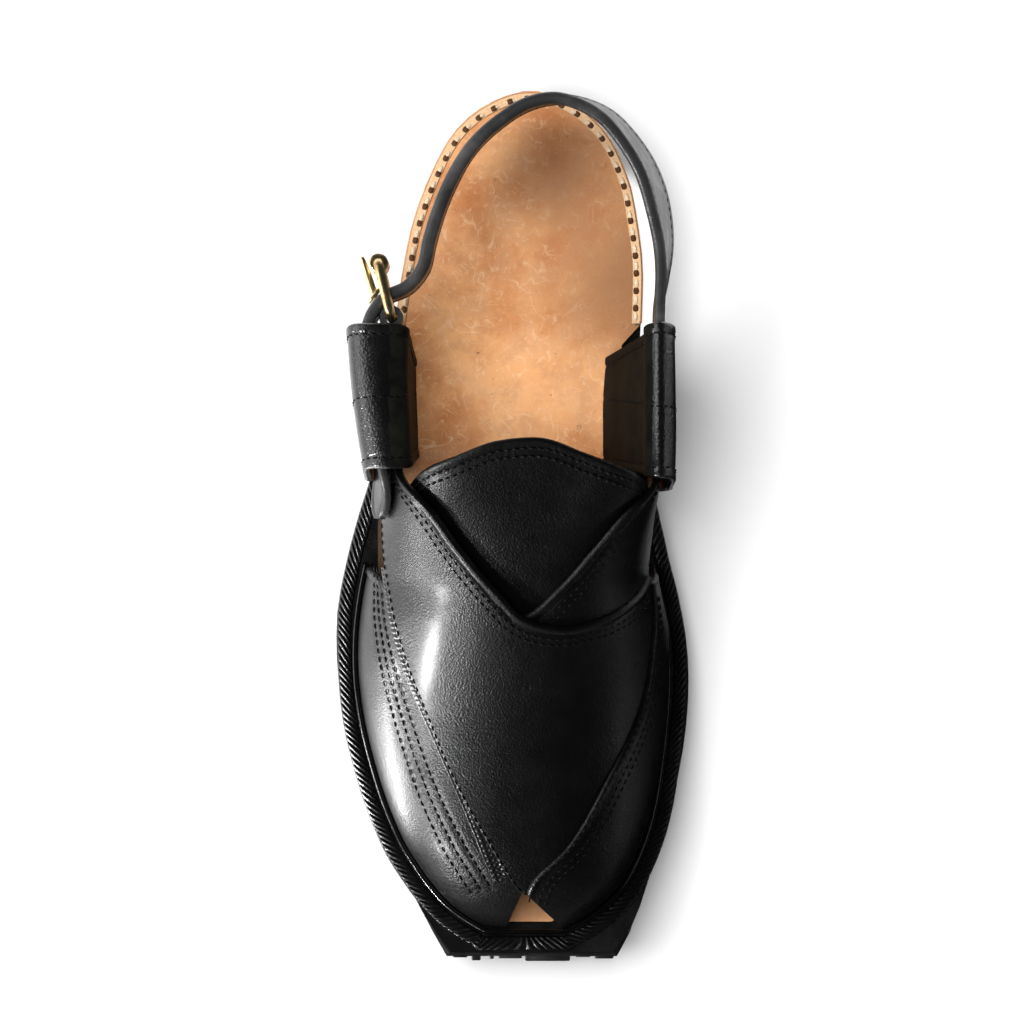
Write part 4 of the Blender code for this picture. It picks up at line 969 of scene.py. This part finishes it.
STRIP_WIDTH, STRIP_WALL = 5.4, 0.9
strip = [walk(edge_y, edge_s, -distance) for distance in edge_shares(STRIP_WIDTH, 12) * STRIP_WIDTH]
strip_y, strip_s = (through(np.column_stack([line[k][on_wing] for line in strip]), 420)
                    for k in range(2))
beaded = walled("beaded_strip", *on_last(strip_y, strip_s), WALL - 0.3 + 0.0 * strip_y, STRIP_WALL,
                "welt_leather", beaded_relief)
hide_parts("upper")

# %% Stitching of the straps: edge, distance from it, first and last share of the strap
stitches("wing_stitching", [on_last(y, s, WALL - 0.05) for y, s in wing_lines], *SEAM)
for name, panel, size, lines in (
        ("over_strap_stitching", over, SEAM, (("front", 1.1, 0.22, 0.86), ("back", 4.6, 0.10, 0.97),
                                              ("back", 6.8, 0.10, 0.97))),
        ("under_strap_stitching", under, SEAM, (("back", 4.6, 0.10, 0.60), ("back", 6.8, 0.10, 0.60))),
        ("medial_wing_stitching", wing, SEAM, (("back", 1.1, 0.05, 0.92), ("back", 4.2, 0.05, 0.92),
                                               ("back", 6.2, 0.05, 0.92))),
        ("tongue_stitching", tongue, TONGUE_SEAM, (("back", 3.4, 0.05, 0.95),
                                                   ("back", 6.2, 0.05, 0.95)))):
    stitches(name, [seam_line(panel, *line) for line in lines], *size)

# %% [markdown]
# ## The quarter loops
# Each side of the heel opening carries a wide leather loop.  It stands on the welt,
# rises, folds over the heel strap and comes down inside to the footbed.  Its outer leg
# hangs a little nearer the toe than the fold.  Three rows of sunk black stitches run
# over it, the outer two beside thin hems.

# %% Tables of the loops
Loop = namedtuple("Loop", "y foot_x wall_x top_x top_z inner_x heel_x")
LATERAL_LOOP = [Loop(*row) for row in (
    (17.5, -44.2, -47.0, -39.6, 91.0, -32.2, -31.0),
    (30.0, -42.6, -49.2, -41.0, 91.5, -32.8, -31.2),
    (46.0, -40.2, -51.3, -42.4, 92.0, -33.4, -31.6),
    (64.0, -37.9, -52.8, -43.1, 91.5, -33.1, -31.8),
)]
MEDIAL_LOOP = [Loop(*row) for row in (
    (14.5, 46.0, 51.5, 47.3, 91.5, 42.9, 30.0), (28.0, 43.6, 51.8, 47.4, 92.0, 42.9, 30.0),
    (46.0, 41.4, 51.6, 47.3, 92.0, 42.9, 30.0), (64.5, 41.4, 51.4, 47.3, 91.0, 42.9, 31.0),
)]
LOOP_SWING = 4.0           # the outer leg hangs nearer the toe than the fold
LOOP_SWING_Z = (70.0, 91.0)
INNER_TAPER = (3.5, -9.0)  # how far the inner leg's front and back edges come in
INNER_TAPER_Z = (91.0, 30.0)
LOOP_WALL = 2.0
LOOP_END_ROW, LOOP_MIDDLE_ROW = 3.5, 23.0             # rows of stitches, from an edge
LOOP_SEAM = (2.8, 2.0, 0.62)
SHOULDER = 0.82            # how much of its width the loop has just below the fold
LOOP_HIGH, LOOP_LOW_OUTER, LOOP_LOW_INNER = 74.0, 50.0, 52.0
LINED_PAST = 0.0024        # metres inside the fold's middle, where the lining begins


# %% One section of a loop
def loop_path(row, foot_z, heel_z):
    """One section of a loop: up the outer wall, over, down the inner."""
    outer_x, inner_x = (row.top_x + (x - row.top_x) * SHOULDER for x in (row.wall_x, row.inner_x))
    section = [(row.foot_x, foot_z), (row.foot_x * 0.1 + row.wall_x * 0.9, LOOP_LOW_OUTER),
               (row.wall_x, LOOP_HIGH), (outer_x, row.top_z - 3.0), (row.top_x, row.top_z),
               (inner_x, row.top_z - 3.0), (row.inner_x, LOOP_HIGH),
               (row.heel_x * 0.45 + row.inner_x * 0.55, LOOP_LOW_INNER), (row.heel_x, heel_z)]
    return [(x, row.y, z) for x, z in section]


def come_in(share):
    """How far the inner leg's foot comes in, at a share of the loop's width."""
    return INNER_TAPER[0] * (1.0 - share) + INNER_TAPER[1] * share


def hang(y, share, path):
    """Slant the outer leg and narrow the inner leg toward its foot."""
    fold = int(np.argmax(path[:, 2]))
    outer = y - LOOP_SWING * (1.0 - ease(path[:, 2], *LOOP_SWING_Z))
    top, foot = INNER_TAPER_Z
    inner = y + come_in(share) * np.maximum(top - path[:, 2], 0.0) / (top - foot)
    path[:, 1] = np.where(np.arange(len(path)) <= fold, outer, inner)
    return path


# %% Making the loops
def loop_relief(spot):
    hems = 0.30 * ease(spot.back, 3.3, 2.7) + 0.30 * ease(spot.front, 3.3, 2.7)
    ends = groove(spot.back, LOOP_END_ROW, 0.30) + groove(spot.front, LOOP_END_ROW, 0.30)
    return hems + ends + groove(spot.front, LOOP_MIDDLE_ROW, 0.25)


def leather_loop(name, rows, replaced):
    """A loop: wall, hems and three rows of stitches."""
    curves = [smooth_curve(rows, field) for field in Loop._fields[1:]]
    lines = []
    for share in 1.0 - edge_shares(rows[-1].y - rows[0].y, 54):
        y = rows[0].y + (rows[-1].y - rows[0].y) * share
        foot_z = float(deck(y - LOOP_SWING)) + 0.3
        heel_z = float(deck(y + come_in(share))) + INSOLE_WALL + 1.2
        path = loop_path(Loop(y, *[float(curve(y)) for curve in curves]), foot_z, heel_z)
        lines.append(hang(y, share, through(path, 150)))
    point = np.array(lines).transpose(1, 0, 2)
    normal = unit(np.cross(np.gradient(point, axis=1), np.gradient(point, axis=0)))
    normal *= np.sign(normal[np.argmax(point[:, 20, 2]), 20, 2])
    panel = walled(name, point, normal, -LOOP_WALL + 0.0 * point[..., 0], LOOP_WALL,
                   "loop_leather", loop_relief)
    panel.piece.data.materials.append(LINING)
    fold_x = np.mean([row.top_x for row in rows]) * MM
    for face in panel.piece.data.polygons:
        face.material_index = int((fold_x - face.center.x) * np.sign(fold_x) > LINED_PAST)
    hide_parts(replaced)
    seams = (("back", LOOP_END_ROW), ("front", LOOP_END_ROW), ("front", LOOP_MIDDLE_ROW))
    stitches(name + "_stitching", [seam_line(panel, *seam, 0.02, 0.98) for seam in seams], *LOOP_SEAM)


leather_loop("lateral_loop", LATERAL_LOOP, "quarter_loop_lateral")
leather_loop("medial_loop", MEDIAL_LOOP, "quarter_loop_medial")

# %% [markdown]
# ## The heel strap
# One long strap is folded over on itself, so its edges are round, and two lines of
# thread quilt each face.  It starts with a rounded tail at the lateral loop,
# passes the buckle, goes round the heel and ends in the medial loop.

# %% The strap's route
Strap = namedtuple("Strap", "x y z width thick lean")
HEEL_STRAP = [Strap(*row) for row in (
    (-42.8, 1.5, 69.8, 25.0, 2.8, 16.0), (-42.2, 8.5, 70.0, 25.0, 2.8, 12.0),
    (-42.2, 15.0, 71.0, 25.0, 3.2, 6.0), (-44.4, 32.0, 72.0, 25.0, 3.4, 0.0),
    (-46.6, 50.0, 72.4, 25.0, 3.4, 0.0), (-46.9, 60.5, 73.0, 25.0, 3.5, 0.0),
    (-45.0, 66.8, 73.8, 25.0, 3.8, 0.0), (-40.6, 72.4, 74.0, 25.0, 3.8, 0.0),
    (-33.6, 75.8, 74.2, 25.4, 4.0, 0.0), (-28.7, 81.6, 74.6, 27.0, 4.1, 0.0),
    (-26.5, 90.4, 75.2, 29.0, 4.2, 0.0), (-24.1, 98.6, 75.8, 31.5, 4.2, 0.5),
    (-19.7, 109.4, 76.6, 34.5, 4.2, 1.0), (-12.4, 121.3, 77.2, 36.5, 4.2, 2.0),
    (-4.0, 129.1, 77.5, 37.5, 4.1, 2.5), (5.4, 134.8, 77.5, 37.5, 4.0, 3.0),
    (13.5, 136.5, 77.5, 37.5, 3.9, 4.0), (21.9, 135.0, 77.5, 37.5, 3.8, 6.0),
    (30.3, 130.7, 77.2, 37.0, 3.8, 8.3), (37.1, 123.4, 76.8, 36.0, 3.8, 9.7),
    (43.1, 113.8, 76.2, 34.5, 3.8, 10.7), (47.4, 99.8, 75.0, 32.0, 3.8, 11.0),
    (48.8, 88.2, 73.9, 29.5, 3.8, 7.5), (48.4, 79.4, 73.3, 28.0, 3.7, 3.5),
    (47.5, 71.4, 72.8, 27.0, 3.5, 1.0), (47.2, 60.0, 72.3, 26.2, 3.2, 0.0),
    (47.1, 45.0, 72.0, 26.0, 3.0, 0.0),
)]
STRAP_TIP_SHARES = (0.0, 0.001, 0.004, 0.009, 0.016)
SEAM_INSET, SEAM_DEPTH = 3.6, 0.40
FACE_SUNK = 0.25           # the faces lie lower than the round edges
STRAP_SEAM = (2.9, 2.2, 0.62)
UPRIGHT = np.array((0.0, 0.0, 1.0))


# %% The strap's section and its thread
def strap_frames(rows, shares):
    """Middle, outward and upward directions, width and thickness on the route."""
    route = through(rows, shares)
    middle = route[:, :3]
    tip = np.clip(1.0 - gone_along(middle) / (route[:, 3] / 2.0), 0.0, 0.97)
    way = unit(np.gradient(middle, axis=0) * (1.0, 1.0, 0.0))
    tilt = np.radians(route[:, 5])[:, None]
    up = np.cross(way, UPRIGHT) * np.sin(tilt) + UPRIGHT * np.cos(tilt)
    return middle, unit(np.cross(way, up)), up, route[:, 3] * np.sqrt(1.0 - tip ** 2), route[:, 4]


def strap_section(width, thick):
    """Out and up round the strap: quilted faces and round edges."""
    half, flat = thick / 2.0, width / 2.0
    round_edge = half * 0.9
    face = np.linspace(-(flat - round_edge), flat - round_edge, 26)
    away = flat - np.abs(face)
    puff = 0.30 * np.exp(-((away - 1.7) / 1.3) ** 2)
    press = SEAM_DEPTH * np.exp(-((away - SEAM_INSET) / 0.55) ** 2)
    out = half + puff - press * min(1.0, flat / 6.0) - FACE_SUNK
    turn = np.linspace(0.0, math.pi, 12)[1:-1]
    edge = np.column_stack([half * np.cos(turn), flat - round_edge + round_edge * np.sin(turn)])
    side = np.column_stack([out, face])
    return np.concatenate([side, edge, side[::-1] * (-1.0, 1.0), -edge])


def heel_strap():
    """The strap's body and the thread on both of its faces."""
    shares = np.concatenate([STRAP_TIP_SHARES, np.linspace(0.022, 1.0, 170)])
    middle, out, up, width, thick = strap_frames(HEEL_STRAP, shares)
    sections = np.array([strap_section(*size) for size in zip(width, thick)])
    rings = (middle[:, None] + sections[..., :1] * out[:, None]) + sections[..., 1:] * up[:, None]
    piece = tidy_mesh(piece_from("quilted_heel_strap", rings, ring_faces(*rings.shape[:2]),
                                 HIDE["strap_leather"]))
    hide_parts("heel_strap")
    depth = (thick / 2.0 - FACE_SUNK - SEAM_DEPTH * 0.8)[:, None]
    height = (width / 2.0 - SEAM_INSET)[:, None]
    stitches("heel_strap_stitching",
             [((middle + out * side * depth + up * edge * height)[12:-2], (out * side)[12:-2])
              for side in (1.0, -1.0) for edge in (1.0, -1.0)], *STRAP_SEAM)
    print("heel strap:", len(rings), "rings")


heel_strap()

# %% [markdown]
# ## Rods and the buckle
# The parts of the buckle and the bead round the upper's foot are all rods: a circle
# carried along a path.  It could be a curve with a bevel, but here the radius changes
# on the way, as it does in the pointed prong and at the roller's ends.

# %% Rods
def rod(name, path, radius, material, slot, sides, closed=False):
    """Carry a circle along a path."""
    path = np.array(path, dtype=float)
    radius = np.broadcast_to(radius, len(path))
    if closed:
        way = unit(np.roll(path, -1, axis=0) - np.roll(path, 1, axis=0))
    else:
        way = unit(np.gradient(path, axis=0))
    side = np.cross(way[0], UPRIGHT)
    if np.linalg.norm(side) < 0.1:
        side = np.cross(way[0], (1.0, 0.0, 0.0))
    turn = np.linspace(0.0, 2.0 * math.pi, sides, endpoint=False)[:, None]
    rings = []
    for place, forward, reach in zip(path, way, radius):
        side = side - forward * np.dot(side, forward)
        side = side / np.linalg.norm(side)
        rings.append(place + reach * (side * np.cos(turn) + np.cross(side, forward) * np.sin(turn)))
    return tidy_mesh(piece_from(name, rings, ring_faces(len(rings), sides, closed), material, slot))


# %% Buckle sizes
BUCKLE_FRONT = (-38.6, 66.0)     # plan position of the fixed bar
BUCKLE_BACK = (-42.7, 83.3)      # plan position of the roller bar
BUCKLE_Z = 73.8
BUCKLE_HEIGHT = 29.6             # between the middles of the two side bars
BUCKLE_CORNER = 3.0
BUCKLE_WIRE = 1.6
ROLLER_RADIUS, ROLLER_LENGTH = 3.1, 23.0
PRONG_RADIUS = 1.1
PRONG_TIP = 21.5                 # how far the prong reaches from the fixed bar
BRASS_FRONT, BRASS_BACK = Vector(BUCKLE_FRONT), Vector(BUCKLE_BACK)
BAR_SPACE = (BRASS_BACK - BRASS_FRONT).length
PRONG_TURN = BUCKLE_WIRE + 0.3 + PRONG_RADIUS         # from the bar's middle to the prong's
PRONG_RISE = (ROLLER_RADIUS - BUCKLE_WIRE) / BAR_SPACE


def buckle_point(ahead, out, up=0.0):
    """A point in the buckle's own frame: back from the fixed bar, outward, up."""
    way = (BRASS_BACK - BRASS_FRONT).normalized()
    place = BRASS_FRONT + way * ahead + Vector((-way.y, way.x)) * out
    return Vector((place.x, place.y, BUCKLE_Z + up))


# %% Brass
def brass_rod(name, path, radius, sides, node, closed=False):
    """A rod of brass that stands for a solid of the buckle."""
    made = rod(name, path, radius, BRASS, "brass", sides, closed)
    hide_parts(node)
    return made


def make_buckle():
    """Frame, roller and prong of worn brass."""
    half = BUCKLE_HEIGHT / 2.0
    near, far, corner = BUCKLE_CORNER, BAR_SPACE - BUCKLE_CORNER, half - BUCKLE_CORNER
    path = []
    for ahead, up, start in ((far, corner, 0), (near, corner, 90), (near, -corner, 180),
                             (far, -corner, 270)):
        for turn in np.radians(start + np.linspace(0.0, 90.0, 9)):
            path.append(buckle_point(ahead + BUCKLE_CORNER * math.cos(turn), 0.0,
                                     up + BUCKLE_CORNER * math.sin(turn)))
    brass_rod("brass_frame", path, BUCKLE_WIRE, 18, "buckle_frame", True)
    length = ROLLER_LENGTH / 2.0
    ups = (-length, -length + 0.35, length - 0.35, length)
    roller = brass_rod("brass_roller", [buckle_point(BAR_SPACE, 0.0, up) for up in ups],
                       [ROLLER_RADIUS * share for share in (0.86, 1.0, 1.0, 0.86)], 32,
                       "buckle_roller")
    roller.data.set_sharp_from_angle(angle=math.radians(30.0))
    path = [buckle_point(PRONG_TURN * math.cos(turn), PRONG_TURN * math.sin(turn))
            for turn in np.radians(np.arange(0, -271, -15) - 5.0)]
    path += [buckle_point(ahead, PRONG_TURN + PRONG_RISE * ahead)
             for ahead in np.linspace(2.0, PRONG_TIP, 14)]
    taper = np.interp(np.arange(len(path)), [len(path) - 5, len(path) - 1],
                      [PRONG_RADIUS, PRONG_RADIUS * 0.62])
    brass_rod("brass_prong", path, taper, 14, "buckle_prong")


make_buckle()

# %% [markdown]
# ## The welt
# Round the foot of the upper lies a thin leather bead, and outside it a flat plait.
# Its strands lie side by side at a slant, their outer ends nearer the heel, so the slant
# changes over at the toe.  It is one sheet whose height follows the strands.

# %% Paths beside the upper and beside the sole edge
BEAD_RADIUS = 0.76
BRAID_WIDTH, BRAID_INSET, BRAID_OFFSET = 4.8, 2.85, 7.20
STRAND_PITCH, STRAND_SLANT = 2.3, 1.45
PLAIT_FOOT, PLAIT_DOME, STRAND_RISE = 0.3, 0.75, 1.05 # heights over the deck
SLANT_TURNS_AT, SLANT_TURN = 0.51, 5.0                # share of the way, and how softly
UPPER_TO_SOLE_EDGE = (-75.0, -40.0)                   # where the plait changes its guide


def soften(line, times):
    """Round a line's corners; its ends stay."""
    for _ in range(times):
        line[1:-1] = (line[:-2] + 2.0 * line[1:-1] + line[2:]) / 4.0
    return line


def square_to(line):
    """Directions square to a plan line."""
    way = unit(np.gradient(line, axis=0))
    return np.column_stack([way[:, 1], -way[:, 0]])


def edge_point(side, y, inset, source, front):
    """A point of an outline, moved inward square to it."""
    x = float(source[side](y))
    slope = float(source[side](y + 0.25) - source[side](y - 0.25)) / 0.5
    normal = unit(np.array((1.0, -slope))) * (-1.0 if side == "lateral" else 1.0)
    return x - normal[0] * inset, max(y - normal[1] * inset, front + inset)


def edge_path(source, inset, lateral_end, medial_end, front, count):
    """Up the lateral side, round the toe and down the medial side."""
    corner = front + inset
    sides = {}
    for side, end in (("lateral", lateral_end), ("medial", medial_end)):
        places = [edge_point(side, y, inset, source, front)
                  for y in np.linspace(end, front + 0.3, 90)]
        sides[side] = [place for place in places if place[1] > corner + 0.4]
    bend = [(sides["lateral"][-1][0] + 0.6, corner), (sides["medial"][-1][0] - 0.6, corner)]
    path = np.array(sides["lateral"] + bend + sides["medial"][::-1])
    lengths = gone_along(path)
    return soften(read_line(path, lengths, np.linspace(0.0, lengths[-1], count)), 3)


def braid_guide(side, y):
    """Beside the upper at the toe and beside the sole edge behind it."""
    inward = BRAID_OFFSET + BRAID_INSET
    beside_edge = float(plan[side](y)) + (inward if side == "lateral" else -inward)
    back = float(ease(y, *UPPER_TO_SOLE_EDGE))
    return float(feather[side](y)) * (1.0 - back) + beside_edge * back


def on_deck(path, across, up):
    """Lift a plan path onto the midsole, moved sideways and up."""
    place = path + square_to(path) * across
    return np.column_stack([place, deck(place[:, 1]) + up])


# %% The bead and the plait
bead_path = edge_path(feather, -(WALL + 0.45 + BEAD_RADIUS), -14.0, -14.0, FEATHER[0].y, 260)
bead = rod("welt_bead_cord", on_deck(bead_path, 0.0, 1.1 + BEAD_RADIUS), BEAD_RADIUS + 0.1,
           HIDE["bead_leather"], "black_leather", 12)
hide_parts("welt_bead")
guides = {side: (lambda y, side=side: braid_guide(side, y)) for side in plan}
plait_path = edge_path(guides, -BRAID_OFFSET, 10.5, 6.0, FEATHER[0].y, 1500)
plait_way = gone_along(plait_path)
side_sign = np.tanh((plait_way[-1] * SLANT_TURNS_AT - plait_way) / SLANT_TURN)
columns = np.linspace(-1.0, 1.0, 17)
drift = 0.20 * np.sin(plait_way / 6.3) + 0.14 * np.sin(plait_way / 2.7 + 1.0)
phase = (plait_way / STRAND_PITCH + drift)[:, None] + side_sign[:, None] * STRAND_SLANT * columns
strand = np.abs(np.sin(math.pi * phase)) ** 0.7
dome = np.sqrt(1.0 - columns ** 2) ** 0.8
height = PLAIT_FOOT + dome * (PLAIT_DOME + STRAND_RISE * strand)
top, low = (np.stack([on_deck(plait_path, u * BRAID_WIDTH / 2.0, lift[:, j])
                      for j, u in enumerate(columns)], axis=1)
            for lift in (height, PLAIT_FOOT + 0.0 * height))
plait = tidy_mesh(piece_from("welt_plait", *two_sided(top, low), HIDE["plait_leather"]))
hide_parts("welt_braid")
print("plait runs", round(float(plait_way[-1])), "mm")

# %% [markdown]
# ## The sole
# The solids of the sole already have their true outline, steps and notches.  Their
# edges are eased with a bevel, and they get rubber and leather.  Small lug ends stand
# out under the toe, and the footbed has a pale pared edge and large stitches round the
# heel.

# %% Sole layers
def dress(node, material, ease_by=0.0):
    """Give a solid of the shoe its material and ease its edges."""
    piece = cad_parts[node]
    piece.data.materials.clear()
    piece.data.materials.append(material)
    if ease_by:
        bevel = piece.modifiers.new("eased_edges", "BEVEL")
        bevel.width, bevel.segments = ease_by * MM, 3
        bevel.limit_method, bevel.angle_limit = "ANGLE", math.radians(40.0)
        bevel.harden_normals = True
    return piece


for node, material, ease_by in (
        ("outsole", RUBBER, 0.5), ("heel_lift", RUBBER, 0.5),
        ("heel_wedge", HIDE["welt_leather"], 0.3), ("midsole", HIDE["welt_leather"], 0.5),
        ("insole", FOOTBED, 0.6),
        ("loop_tab", HIDE["loop_leather"], 0.4), ("buckle_strap", HIDE["strap_leather"], 0.5),
        ("eyelet", BRASS, 0.0)):
    dress(node, material, ease_by)

# %% Lug ends under the front of the toe
Lug = namedtuple("Lug", "from_x to_x reach")
TOE_LUGS = [Lug(-20.0, -14.6, 0.7), Lug(-13.8, -10.2, 2.0), Lug(-7.8, -5.8, 1.5), Lug(-4.8, 3.6, 1.2),
            Lug(4.0, 19.6, 2.2), Lug(20.8, 26.4, 0.5), Lug(27.2, 34.0, 1.3)]
LUG_TOP, LUG_LOW, LUG_BACK, LUG_FRONT = 24.0, 17.5, -138.0, -144.0
corners, faces = [], []
for row in TOE_LUGS:
    first, front = len(corners), LUG_FRONT
    for z, reach in ((LUG_LOW, row.reach), (LUG_TOP, row.reach * 0.6)):
        corners += [(row.from_x, LUG_BACK, z), (row.to_x, LUG_BACK, z),
                    (row.to_x - 0.3, front - reach, z), (row.from_x + 0.4, front - reach, z)]
    faces += [tuple(first + i for i in face) for face in
              ((0, 1, 2, 3), (7, 6, 5, 4), (0, 4, 5, 1), (1, 5, 6, 2), (2, 6, 7, 3), (3, 7, 4, 0))]
toe_lugs = tidy_mesh(piece_from("toe_lugs", corners, faces, RUBBER, "black_rubber"))
rounded = toe_lugs.modifiers.new("eased_edges", "BEVEL")
rounded.width, rounded.segments = 0.35 * MM, 2
print("toe lugs", len(TOE_LUGS))

# %% The footbed's heel is hand-stitched near its edge
HEEL_SEAM_INSET, HEEL_SEAM_PITCH, HEEL_SEAM_FROM, HEEL_END = 2.3, 5.6, 65.5, 142.9
HEEL_STITCH, HEEL_HOLE = (4.0, 1.5), (2.8, 1.9)       # length and thickness


def heel_line(inset):
    """Round the heel on the footbed, a distance inside its edge, and the normals."""
    y = HEEL_SEAM_FROM + (HEEL_END - HEEL_SEAM_FROM) * np.sin(np.linspace(0.0, math.pi / 2.0, 90))
    edge = np.concatenate([np.column_stack([plan["lateral"](y), y]),
                           np.column_stack([plan["medial"](y), y])[::-1]])
    line = soften(edge + square_to(edge) * inset, 6)
    place = np.column_stack([line, deck(line[:, 1]) + INSOLE_WALL])
    return place, np.tile(UPRIGHT, (len(line), 1))


PALE_INSETS, PALE_LIFT, PALE_DOME, PALE_WALL = (0.4, 0.8, 1.4, 2.2, 3.0, 3.5), 0.10, 0.06, 0.15
rim_lines = [heel_line(inset)[0] for inset in PALE_INSETS]
pale_top = np.stack(rim_lines, axis=1) + UPRIGHT * PALE_LIFT
pale_top[:, 1:-1, 2] += PALE_DOME
pale_low = pale_top - UPRIGHT * PALE_WALL
tidy_mesh(piece_from("skived_heel_edge", *two_sided(pale_top, pale_low), PALE_EDGE, "tan_leather"))
seam, seam_up = heel_line(HEEL_SEAM_INSET)
seam_way = gone_along(seam)
pitch = seam_way[-1] / int(seam_way[-1] / HEEL_SEAM_PITCH)
between = read_line(seam, seam_way, np.linspace(pitch / 2.0, seam_way[-1] - pitch / 2.0, 300))
stitches("heel_edge_stitching", [(seam, seam_up)], pitch, *HEEL_STITCH, CREAM_THREAD, "tan_leather")
# dark beads with painted shade for the awl holes between the stitches
stitches("heel_edge_holes", [(between, np.tile(UPRIGHT, (300, 1)))], pitch, *HEEL_HOLE, AWL_HOLE_SHADE,
         "tan_leather")

# %% [markdown]
# ## A white card under the strap
# From above, clean white shows between the footbed and the inner side of the heel
# strap.  The table is in deep shade there, so a small glowing card lies on it, as is
# done in a studio.  It belongs to the stage and not to the shoe.  Its edges fade away,
# so that no hard border shows from the side or from behind.

# %% White card
CARD_FADE_FROM, CARD_FADE_WIDTH, CARD_END_FADE = 5.0, 8.0, 16.0   # mm from the strap's line
UNDER_SOLE = 7.0           # how far the card reaches under the sole
WHITE_CARD_Z = 0.6
GLOW = 0.9
card_y = np.arange(48.0, 125.0, 4.0)
medial_rows = sorted((row.y, row.x) for row in HEEL_STRAP if row.x > 20.0)
strap_line = np.interp(card_y, *zip(*medial_rows))
steps = np.linspace(0.0, 1.0, 5)
card_x = [strap_line + CARD_FADE_FROM - step * CARD_FADE_WIDTH for step in steps]
card_x.append(plan["medial"](card_y) - UNDER_SOLE)
ends = np.clip(np.minimum(card_y - card_y[0], card_y[-1] - card_y) / CARD_END_FADE, 0.0, 1.0)
fade = ease(np.outer(np.append(steps, 1.0), ends), 0.0, 1.0)
glow, glow_tree, glow_shader = new_material("card_white", Emission_Color=(1, 1, 1, 1),
                                            Emission_Strength=GLOW)
white_card = stage_piece("white_card", [(x * MM, y * MM, WHITE_CARD_Z * MM) for line in card_x
                                        for x, y in zip(line, card_y)],
                         quads(np.arange(fade.size).reshape(fade.shape)), glow)
white_card.data.attributes.new("fade", "FLOAT", "POINT").data.foreach_set("value", fade.ravel())
soft_edge = glow_tree.nodes.new("ShaderNodeAttribute")
soft_edge.attribute_name = "fade"
join(glow_tree, soft_edge, "Fac", glow_shader, "Alpha")

# %% [markdown]
# ## The dressed shoe should keep the size of its solids; the box round it is printed.
# The dressed shoe has to keep the size of its solids, so both boxes are written down.

# %% Sizes
low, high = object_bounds()
print("dressed", [round(side / MM, 1) for side in high - low], "mm")
